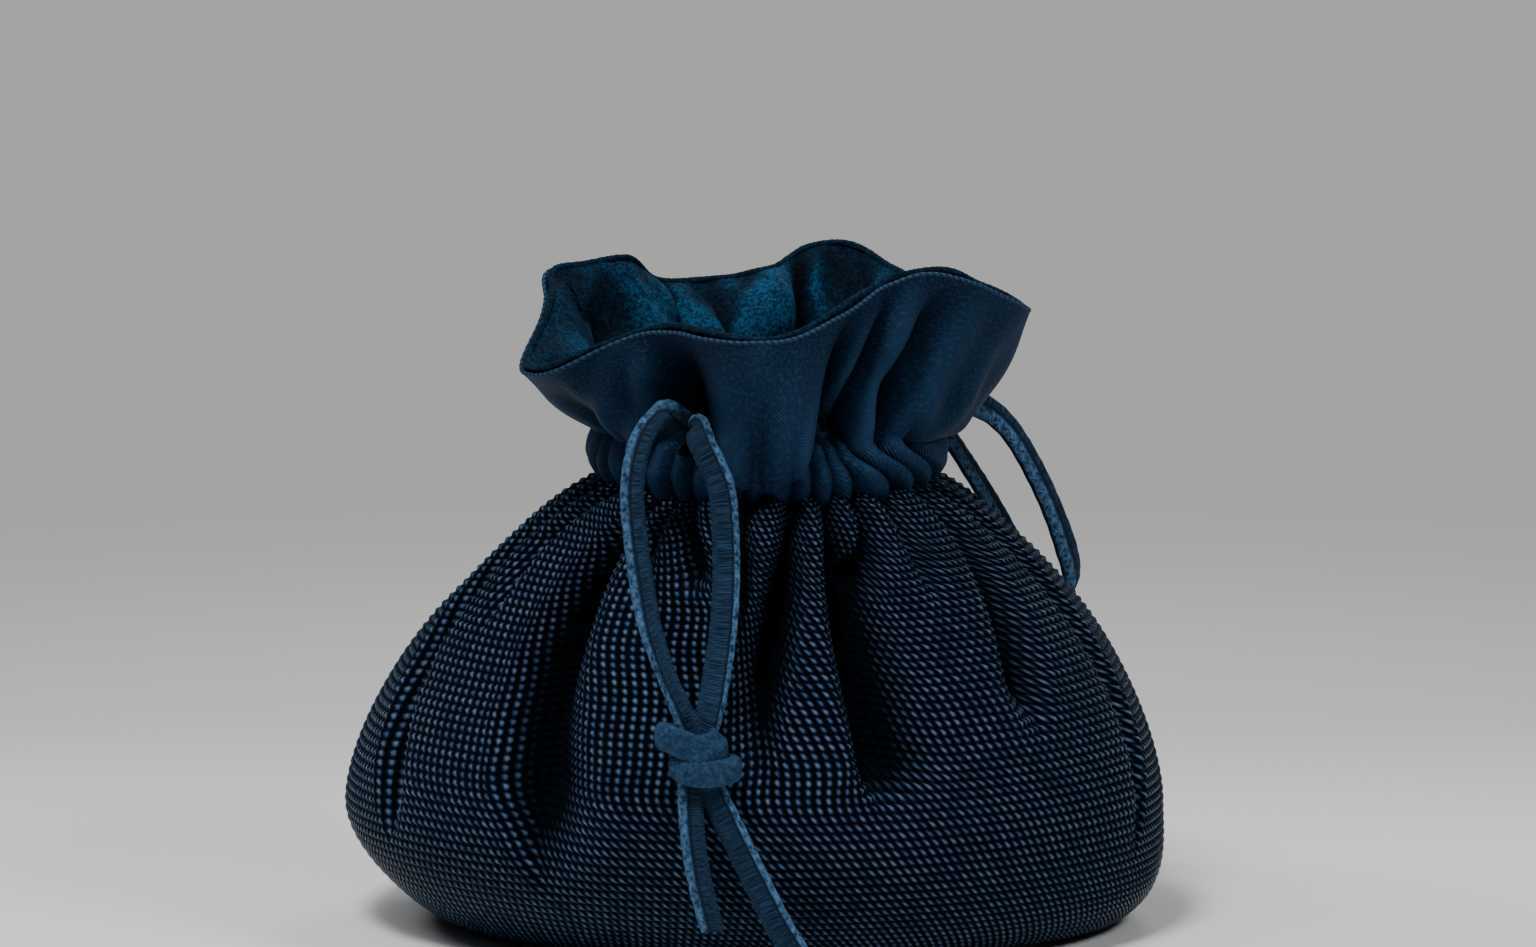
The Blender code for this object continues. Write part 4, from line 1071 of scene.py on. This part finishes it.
edge_points = (
    edge_middle[:, None]
    + edge_normal[:, None] * (edge_radius * np.cos(side_turn))[..., None]
    + edge_up[:, None] * (edge_radius * np.sin(side_turn))[..., None]
)
ring_of = (np.arange(EDGE_STEPS + 1) % EDGE_STEPS)[:, None] * EDGE_SIDES
edge_index = ring_of + np.arange(EDGE_SIDES + 1) % EDGE_SIDES
edge_uv = np.stack(np.broadcast_arrays(
    edge_run[:, None], np.linspace(0.0, 1.0, EDGE_SIDES + 1)[None]), -1)
overcast_edge = add_piece(
    "overcast_edge", edge_points, [patch(edge_index.T, edge_uv.transpose(1, 0, 2))],
    edge_thread)

# %% Rolled velvet edge
# The pile's unevenness is a fast sine of the length, whose phase a slower one moves.
ROLL_RADIUS = 0.00062
PILE_RELIEF = 0.05
PILE_RATE = 1571
PILE_DRIFT_RATE = 377
roll_middle = edge_rows[-1] - edge_normal * (SEAM_GAP / 2 + ROLL_RADIUS)
drift = 2.0 * np.sin(edge_run[:-1, None] * PILE_DRIFT_RATE)
plush = 1.0 + PILE_RELIEF * np.sin(edge_run[:-1, None] * PILE_RATE + drift)
roll_points = (
    roll_middle[:, None]
    + edge_normal[:, None] * (ROLL_RADIUS * plush * np.cos(side_turn))[..., None]
    + edge_up[:, None] * (ROLL_RADIUS * plush * np.sin(side_turn))[..., None]
)
rolled_edge = add_piece(
    "rolled_velvet_edge", roll_points, [patch(edge_index.T, edge_uv.transpose(1, 0, 2))],
    lining_velvet)

# %% [markdown]
# ## The drawstrings
# Each drawstring is a flat velvet tape about 4 mm wide, stitched along one side so that a small
# ridge runs down it. It comes out of its slit, hangs over the bag, goes through the knot and
# ends in a cut tail. A tape is a flat oval carried along a smooth path, with its wide side
# turned to lie along the bag, and its crosswise wrinkles are small changes of that oval.


# %% Paths and tapes
def smooth_path(points, spacing):
    """Points on a smooth curve through a route: between two points, a cubic whose slope at each
    is that between the point before and the point after. They are spaced evenly."""
    points = np.array(points, float)
    ends = np.array([2 * points[0] - points[1], *points, 2 * points[-1] - points[-2]])
    fine = []
    for at in range(1, len(ends) - 2):
        u = np.linspace(0.0, 1.0, 24, endpoint=False)[:, None]
        before, start, stop, beyond = ends[at - 1 : at + 3]
        bend = start * 2 + (stop - before) * u
        bend = bend + (2 * before - 5 * start + 4 * stop - beyond) * u**2
        fine.append((bend + (3 * start - before - 3 * stop + beyond) * u**3) / 2)
    fine = np.concatenate([*fine, points[-1:]])
    run = running_length(fine)
    wanted = np.linspace(0.0, run[-1], max(4, int(round(run[-1] / spacing)) + 1))
    return np.stack([np.interp(wanted, run, fine[:, k]) for k in range(3)], axis=-1)


TAPE_WIDTH = 0.0042
TAPE_THICKNESS = 0.0017
TAPE_SIDES = 28


def tape_rings(path, out, width, thickness, seed=0.0, ridge_side=1):
    """Rings of a flat tape along a path: a squarish oval, wide across and thin along 'out'. Its
    upper half is lifted by a bell curve near one edge, which is the ridge, lowered by another
    beside it, which is the groove, and wrinkled by sines of the length."""
    along = np.gradient(path, axis=0)
    along = along / np.linalg.norm(along, axis=1, keepdims=True)
    side = np.cross(along, out)
    side = side / np.linalg.norm(side, axis=1, keepdims=True)
    face = np.cross(side, along)
    run = running_length(path)[:, None] / MM
    turn = np.arange(TAPE_SIDES)[None] * 2 * math.pi / TAPE_SIDES
    across = np.sign(np.cos(turn)) * np.abs(np.cos(turn)) ** 0.7
    up = np.sign(np.sin(turn)) * np.abs(np.sin(turn)) ** 0.75
    wrinkle = np.sin(run * 2.9 + seed + 1.5 * across) + 0.7 * np.sin(run * 4.7 + 2 * seed - across)
    ridge = 0.30 * np.exp(-(((ridge_side * across - 0.56) / 0.24) ** 2))
    groove = -0.35 * np.exp(-(((ridge_side * across - 0.12) / 0.10) ** 2))
    lift = 1.0 + (ridge + groove + 0.05 * wrinkle) * (up > 0)
    wide = width / 2 * (1.0 + 0.02 * np.sin(run * 1.7 + seed))
    high = thickness / 2 * lift
    return (path[:, None] + side[:, None] * (wide * across)[..., None]
            + face[:, None] * (high * up)[..., None])


def closed_tube(rings, ridge_side=1):
    """Points and parts of a tube closed round its rings, with a middle point in each end. Its
    cloth place is the turn round the tape from its ridge side, and the length in tape widths."""
    steps, sides = rings.shape[:2]
    index = np.arange(steps)[:, None] * sides + np.arange(sides + 1) % sides
    run = running_length(rings.mean(axis=1))
    turn = np.linspace(0.0, 1.0, sides + 1)
    # The finish has its ridge at one turn, so a tape with its ridge on the other side is mirrored.
    turn = turn - 0.03 if ridge_side > 0 else 0.5 - turn + 0.05
    uv = np.stack(np.broadcast_arrays(turn[None], (run / TAPE_WIDTH)[:, None]), -1)
    points = np.concatenate([rings.reshape(-1, 3), rings[[0, -1]].mean(axis=1)])
    first = fan(index[0, :-1][::-1], steps * sides, (0.75, 0.0))
    last = fan(index[-1, :-1], steps * sides + 1, (0.75, 0.0))
    return points, [patch(index, uv), first, last]


print("tapes are", TAPE_WIDTH / MM, "by", TAPE_THICKNESS / MM, "mm")

# %% [markdown]
# ## The routes
# A hanging tape could be simulated, but the photograph shows just where the front one hangs. So
# each route is a list of points along it, read against the photograph, with the depth taken from
# the bag that it lies on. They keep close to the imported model's routes, where the short front tail
# alone bends a little differently. The back one is hidden below, and hangs like the front one.

# %% Routes in millimetres
FRONT_LEFT = (
    (-12.3, -19.6, 77.2), (-14.2, -23.8, 79.6), (-17.6, -28.8, 82.6), (-20.8, -32.2, 79.6),
    (-22.3, -33.9, 73.5), (-22.2, -35.1, 67.5), (-21.3, -37.6, 60.5), (-19.8, -41.6, 52.8),
    (-17.0, -46.2, 45.4), (-14.6, -49.9, 40.4),
)
FRONT_RIGHT = (
    (-9.3, -20.9, 77.0), (-11.3, -25.2, 77.9), (-12.6, -30.2, 80.6), (-12.0, -34.2, 78.8),
    (-9.3, -36.2, 73.0), (-8.6, -37.2, 67.5), (-8.4, -39.2, 60.5), (-8.8, -42.8, 52.8),
    (-9.9, -46.6, 45.4), (-11.0, -49.9, 40.4),
)
KNOT_PLACE = (-12.8, -51.6, 34.9)
FRONT_SHORT_TAIL = (
    (-13.6, -52.2, 29.7), (-13.4, -53.2, 24.0), (-12.6, -53.6, 18.0), (-11.4, -53.4, 12.6),
    (-10.4, -52.8, 8.8),
)
FRONT_LONG_TAIL = (
    (-10.4, -52.4, 29.5), (-7.4, -53.8, 23.6), (-4.0, -54.2, 16.6), (-0.4, -54.2, 9.4),
    (3.4, -54.8, 3.6), (6.2, -57.4, 1.6),
)
BACK_RIGHT = (
    (16.9, 11.4, 73.7), (22.6, 14.8, 75.8), (28.8, 19.2, 77.0), (34.6, 23.4, 72.8),
    (39.9, 27.0, 63.6), (43.8, 30.0, 53.7), (45.2, 34.2, 46.6), (42.8, 37.8, 41.3),
)
BACK_LEFT = (
    (13.9, 14.6, 73.7), (18.8, 19.6, 75.6), (24.2, 24.6, 72.6), (29.2, 28.0, 65.2),
    (34.0, 31.2, 56.7), (37.2, 34.6, 49.0), (38.2, 37.6, 41.2),
)
BACK_KNOT_PLACE = (40.2, 39.0, 35.4)
BACK_SHORT_TAIL = ((38.4, 39.4, 30.1), (38.8, 41.2, 24.0), (39.4, 42.2, 17.0), (39.8, 42.4, 10.0))
BACK_LONG_TAIL = (
    (42.0, 39.0, 30.0), (44.0, 41.0, 24.0), (45.6, 42.2, 15.0), (46.4, 42.8, 6.8),
    (48.6, 44.6, 1.6),
)


def outwards(path):
    """Level directions away from the neck's axis, for the flat side of a tape to face."""
    out = path - np.array([NECK_SHIFT, 0.0, 0.0])
    out[:, 2] = 0.0
    return out / np.linalg.norm(out, axis=1, keepdims=True)


print("front long tail has", len(FRONT_LONG_TAIL), "points")


# %% Turn the flat side of a tape
def turn_about(path, out, degrees):
    """The out directions turned about the path by an angle that may change along it."""
    along = np.gradient(path, axis=0)
    along = along / np.linalg.norm(along, axis=1, keepdims=True)
    out = out - along * (out * along).sum(axis=1, keepdims=True)
    out = out / np.linalg.norm(out, axis=1, keepdims=True)
    turn = np.radians(degrees)[:, None]
    return out * np.cos(turn) + np.cross(along, out) * np.sin(turn)


# %% Make the four tape ends
SHADED_LENGTH = 0.023
PATH_STEP = 0.45


def drawstring_end(name, route, knot, tail, twist, seed, ridge_side, nodes):
    """A tape from its slit through the knot to its cut end. Twist gives turns of its flat side
    along the way, as shares of the length and degrees."""
    path = smooth_path([*route, knot, *tail], PATH_STEP) * MM
    share = np.linspace(0.0, 1.0, len(path))
    out = turn_about(path, outwards(path), np.interp(share, *np.array(twist, float).T))
    rings = tape_rings(path, out, TAPE_WIDTH, TAPE_THICKNESS, seed, ridge_side)
    points, parts = closed_tube(rings, ridge_side)
    piece = add_piece(name, points, parts, tape_velvet)
    # Painted shade near the slit: the mark fades out along the tape's first stretch.
    shaded = np.repeat(ease(1.0 - running_length(path) / SHADED_LENGTH), TAPE_SIDES)
    mark_points(piece, "near_slit", shaded, [1.0, 0.0])
    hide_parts(*nodes)
    return piece, path


# Each tape: its name, route, knot and tail, the turns of its flat side, the seed of its wrinkles,
# the side of its ridge, and the nodes that it stands for.
TAPES = (
    ("front_left_tape", FRONT_LEFT, KNOT_PLACE, FRONT_SHORT_TAIL,
     ((0.0, 60), (0.2, 8), (0.45, 5), (0.58, 35), (0.75, 15), (1.0, 30)), 0.4, 1,
     ("front_left_strand", "front_short_tail")),
    ("front_right_tape", FRONT_RIGHT, KNOT_PLACE, FRONT_LONG_TAIL,
     ((0.0, -40), (0.2, 0), (0.45, -5), (0.6, -25), (0.75, 5), (1.0, 3)), 1.9, -1,
     ("front_right_strand", "front_long_tail")),
    ("back_right_tape", BACK_RIGHT, BACK_KNOT_PLACE, BACK_LONG_TAIL,
     ((0.0, 0), (0.12, 65), (0.45, 75), (0.6, 40), (1.0, 20)), 3.1, 1,
     ("back_right_strand", "back_long_tail")),
    ("back_left_tape", BACK_LEFT, BACK_KNOT_PLACE, BACK_SHORT_TAIL,
     ((0.0, 0), (0.12, 60), (0.45, 70), (0.6, 30), (1.0, 0)), 4.2, 1,
     ("back_left_strand", "back_short_tail")),
)
ends = {line[0]: drawstring_end(*line) for line in TAPES}

# %% [markdown]
# ## The knots
# Both strands go through one overhand knot. What shows is the tape wrapped round the strands:
# one turn high on the left and one lower on the right. Two closed tape loops, tilted against each
# other round a third, smaller one, give that look. They hide that the two tapes cross inside.


# %% Knots
def loop_band(centre, radius_across, radius_deep, tilt, width, thickness, seed):
    """A closed tape loop in millimetres: a level oval, tilted sideways."""
    angle = np.linspace(0.0, 2 * math.pi, 97)[:-1]
    x = radius_across * np.cos(angle)
    y = radius_deep * np.sin(angle)
    z = x * math.tan(math.radians(tilt)) + 0.3 * np.sin(2 * angle + seed)
    path = np.stack([x, y, z], axis=-1)
    out = path * np.array([1.0, 1.0, 0.0])
    out = out / np.linalg.norm(out, axis=1, keepdims=True)
    along = np.roll(path, -1, axis=0) - np.roll(path, 1, axis=0)
    along = along / np.linalg.norm(along, axis=1, keepdims=True)
    side = np.cross(along, out)
    side = side / np.linalg.norm(side, axis=1, keepdims=True)
    face = np.cross(side, along)
    turn = np.arange(TAPE_SIDES)[None] * 2 * math.pi / TAPE_SIDES
    across = np.sign(np.cos(turn)) * np.abs(np.cos(turn)) ** 0.75
    up = np.sign(np.sin(turn)) * np.abs(np.sin(turn)) ** 0.8
    wrinkle = 1.0 + 0.06 * np.sin(9 * angle + seed)[:, None] * (up > 0)
    rings = path[:, None] + side[:, None] * (width / 2 * across)[..., None]
    rings = rings + face[:, None] * (thickness / 2 * wrinkle * up)[..., None]
    return (rings + np.array(centre)) * MM


def band_part(rings, first):
    """The faces of a loop that closes both ways."""
    steps, sides = rings.shape[:2]
    index = first + (np.arange(steps + 1) % steps)[:, None] * sides
    index = index + np.arange(sides + 1) % sides
    uv = np.stack(np.broadcast_arrays(
        np.linspace(0.0, 1.0, sides + 1)[None], np.linspace(0.0, 1.0, steps + 1)[:, None]), -1)
    return patch(index, uv)


def make_knot(name, place, mirror, node_name):
    """Two tilted loops round a third, smaller one, in one piece. A mirror of -1 turns it round."""
    x, y, z = place
    loops = [
        loop_band((x - 0.7 * mirror, y, z + 1.7), 4.4, 3.3, -15 * mirror, 4.3, 2.1, 0.0),
        loop_band((x + 1.3 * mirror, y - 0.2, z - 1.9), 4.3, 3.5, -4 * mirror, 4.0, 2.2, 2.0),
        loop_band((x, y, z), 2.6, 2.2, 0, 7.6, 2.2, 1.0),
    ]
    parts = []
    first = 0
    for rings in loops:
        parts.append(band_part(rings, first))
        first += rings.shape[0] * rings.shape[1]
    points = np.concatenate([rings.reshape(-1, 3) for rings in loops])
    piece = add_piece(name, points, parts, knot_velvet)
    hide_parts(node_name)
    return piece


front_knot = make_knot("front_overhand_knot", KNOT_PLACE, 1, "front_knot")
back_knot = make_knot("back_overhand_knot", BACK_KNOT_PLACE, -1, "back_knot")

# %% [markdown]
# ## The tapes inside the casing
# Between its two ends each drawstring runs round the neck, hidden between satin and lining. Only
# a glimpse shows through a slit, so a plain open ring will do. It is narrower than the tape
# outside, so that it fits between the gathers.


# %% Tapes in the casing
def casing_tape(name, slit_angle, height, node_name):
    """A flat tape on an oval round the neck, inside the gathers and open at its slit."""
    start, stop = slit_angle + CASING_OPENING, slit_angle + 360.0 - CASING_OPENING
    angle = np.radians(np.linspace(start, stop, CASING_STEPS))
    half = NECK_HALF - CASING_INSET
    path = np.stack([NECK_SHIFT + half[0] * np.sin(angle), -half[1] * np.cos(angle),
                     np.full(angle.shape, height)], axis=-1)
    rings = tape_rings(path, outwards(path), CASING_TAPE_WIDTH, CASING_TAPE_THICKNESS)
    points, parts = closed_tube(rings)
    piece = add_piece(name, points, parts, tape_velvet)
    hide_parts(node_name)
    return piece


CASING_OPENING = 28.0
CASING_STEPS = 240
CASING_INSET = 0.0065
CASING_TAPE_WIDTH = 0.0030
CASING_TAPE_THICKNESS = 0.0013
FRONT_CORD_HEIGHT = SATIN_START + 0.0078
CORD_SPACING = 0.0034
casing_tape("front_casing_tape", -22.0, FRONT_CORD_HEIGHT, "front_cord_in_casing")
casing_tape("back_casing_tape", 128.0, FRONT_CORD_HEIGHT - CORD_SPACING, "back_cord_in_casing")

# %% [markdown]
# ## Floor and light
# The pouch stands on a pale table in front of a plain grey. An upright wall would hide it from a
# camera behind, so the table is a level sheet that fades out round the pouch, and the room's own
# grey shows beyond it, the same from every side.

# %% Floor
FLOOR_HALF = 0.5
FLOOR_FADE = (0.17, 0.44)
FLOOR_NEAR = (0.92, 0.92, 0.92)
FLOOR_FAR = (0.66, 0.655, 0.65)
FLOOR_TURNS_GREY = (0.04, 0.18)
floor_line = np.linspace(-FLOOR_HALF, FLOOR_HALF, 41)
floor_x, floor_y = np.meshgrid(floor_line, floor_line)
floor_index = np.arange(floor_x.size).reshape(floor_x.shape)
floor_faces, _ = patch(floor_index, np.zeros((*floor_x.shape, 2)))
floor_points = np.stack([floor_x, floor_y, np.zeros(floor_x.shape)], axis=-1)
floor_mesh = bpy.data.meshes.new("floor")
floor_mesh.from_pydata(floor_points.reshape(-1, 3).tolist(), [], floor_faces.tolist())
stage_finish, tree, shader = new_material("pale_stage", 0.8, 0.2)
stage_place = object_place(tree)
depth_back = node(tree, "ShaderNodeSeparateXYZ", inputs={0: stage_place}).outputs[1]
towards_back = share_between(tree, depth_back, *FLOOR_TURNS_GREY, smooth=True)
tree.links.new(mixed(tree, towards_back, FLOOR_NEAR, FLOOR_FAR), shader.inputs["Base Color"])
away = node(tree, "ShaderNodeVectorMath", operation="LENGTH", inputs={0: stage_place})
floor_there = share_between(tree, away.outputs["Value"], *FLOOR_FADE[::-1], smooth=True)
tree.links.new(floor_there, shader.inputs["Alpha"])
floor_mesh.materials.append(stage_finish)
floor = bpy.data.objects.new("floor", floor_mesh)
bpy.context.scene.collection.objects.link(floor)
print("floor fades out between", FLOOR_FADE[0], "and", FLOOR_FADE[1], "m from the pouch")

# %% [markdown]
# ## Lamps and room
# A soft key lamp above the front left gives each bump of the weave a glint, to which the weave's
# finish adds a painted glint. Weaker lamps on both sides and above keep the folds readable. The
# room gives hardly any light, so that the folds stay dark, but the camera sees it as a plain grey.


# %% Lamps
def lamp(name, place, aim, size, power):
    """A square soft lamp at a place, turned to shine at a point."""
    data = bpy.data.lights.new(name, "AREA")
    data.size = size
    data.energy = power
    made = bpy.data.objects.new(name, data)
    direction = np.array(aim, float) - np.array(place, float)
    flat = math.hypot(direction[0], direction[1])
    made.location = place
    made.rotation_euler = (math.atan2(flat, -direction[2]), 0.0,
                           math.atan2(-direction[0], direction[1]))
    bpy.context.scene.collection.objects.link(made)


# Each lamp: its name, its place, the point that it shines at, its width and its power.
LAMPS = (
    ("key_lamp", (-0.20, -0.42, 0.90), (0.0, 0.0, 0.05), 0.22, 6.0),
    ("side_lamp", (0.55, -0.30, 0.62), (0.0, 0.0, 0.05), 0.22, 2.4),
    ("edge_lamp", (-0.60, 0.15, 0.65), (0.0, 0.0, 0.05), 0.22, 1.2),
    ("fill_lamp", (-0.5, -0.1, 1.2), (-0.2, 0.5, 0.1), 0.8, 3.6),
    ("back_lamp", (0.25, 0.70, 0.60), (0.0, 0.0, 0.04), 0.30, 1.6),
)
for line in LAMPS:
    lamp(*line)
print("lamps:", len(LAMPS))

# %% Room
world = bpy.data.worlds.new("room")
world.use_nodes = True
ROOM_LIGHT = 0.03
ROOM_TONE = 0.44
ROOM_COLOUR = (1.0, 1.0, 0.99)
room = world.node_tree
seen = node(room, "ShaderNodeLightPath").outputs["Is Camera Ray"]
strength = maths(room, "MULTIPLY_ADD", seen, ROOM_TONE - ROOM_LIGHT, ROOM_LIGHT)
room.nodes["Background"].inputs["Color"].default_value = (*ROOM_COLOUR, 1.0)
room.links.new(strength, room.nodes["Background"].inputs["Strength"])
bpy.context.scene.world = world
print("room light", ROOM_LIGHT, "and tone", ROOM_TONE)
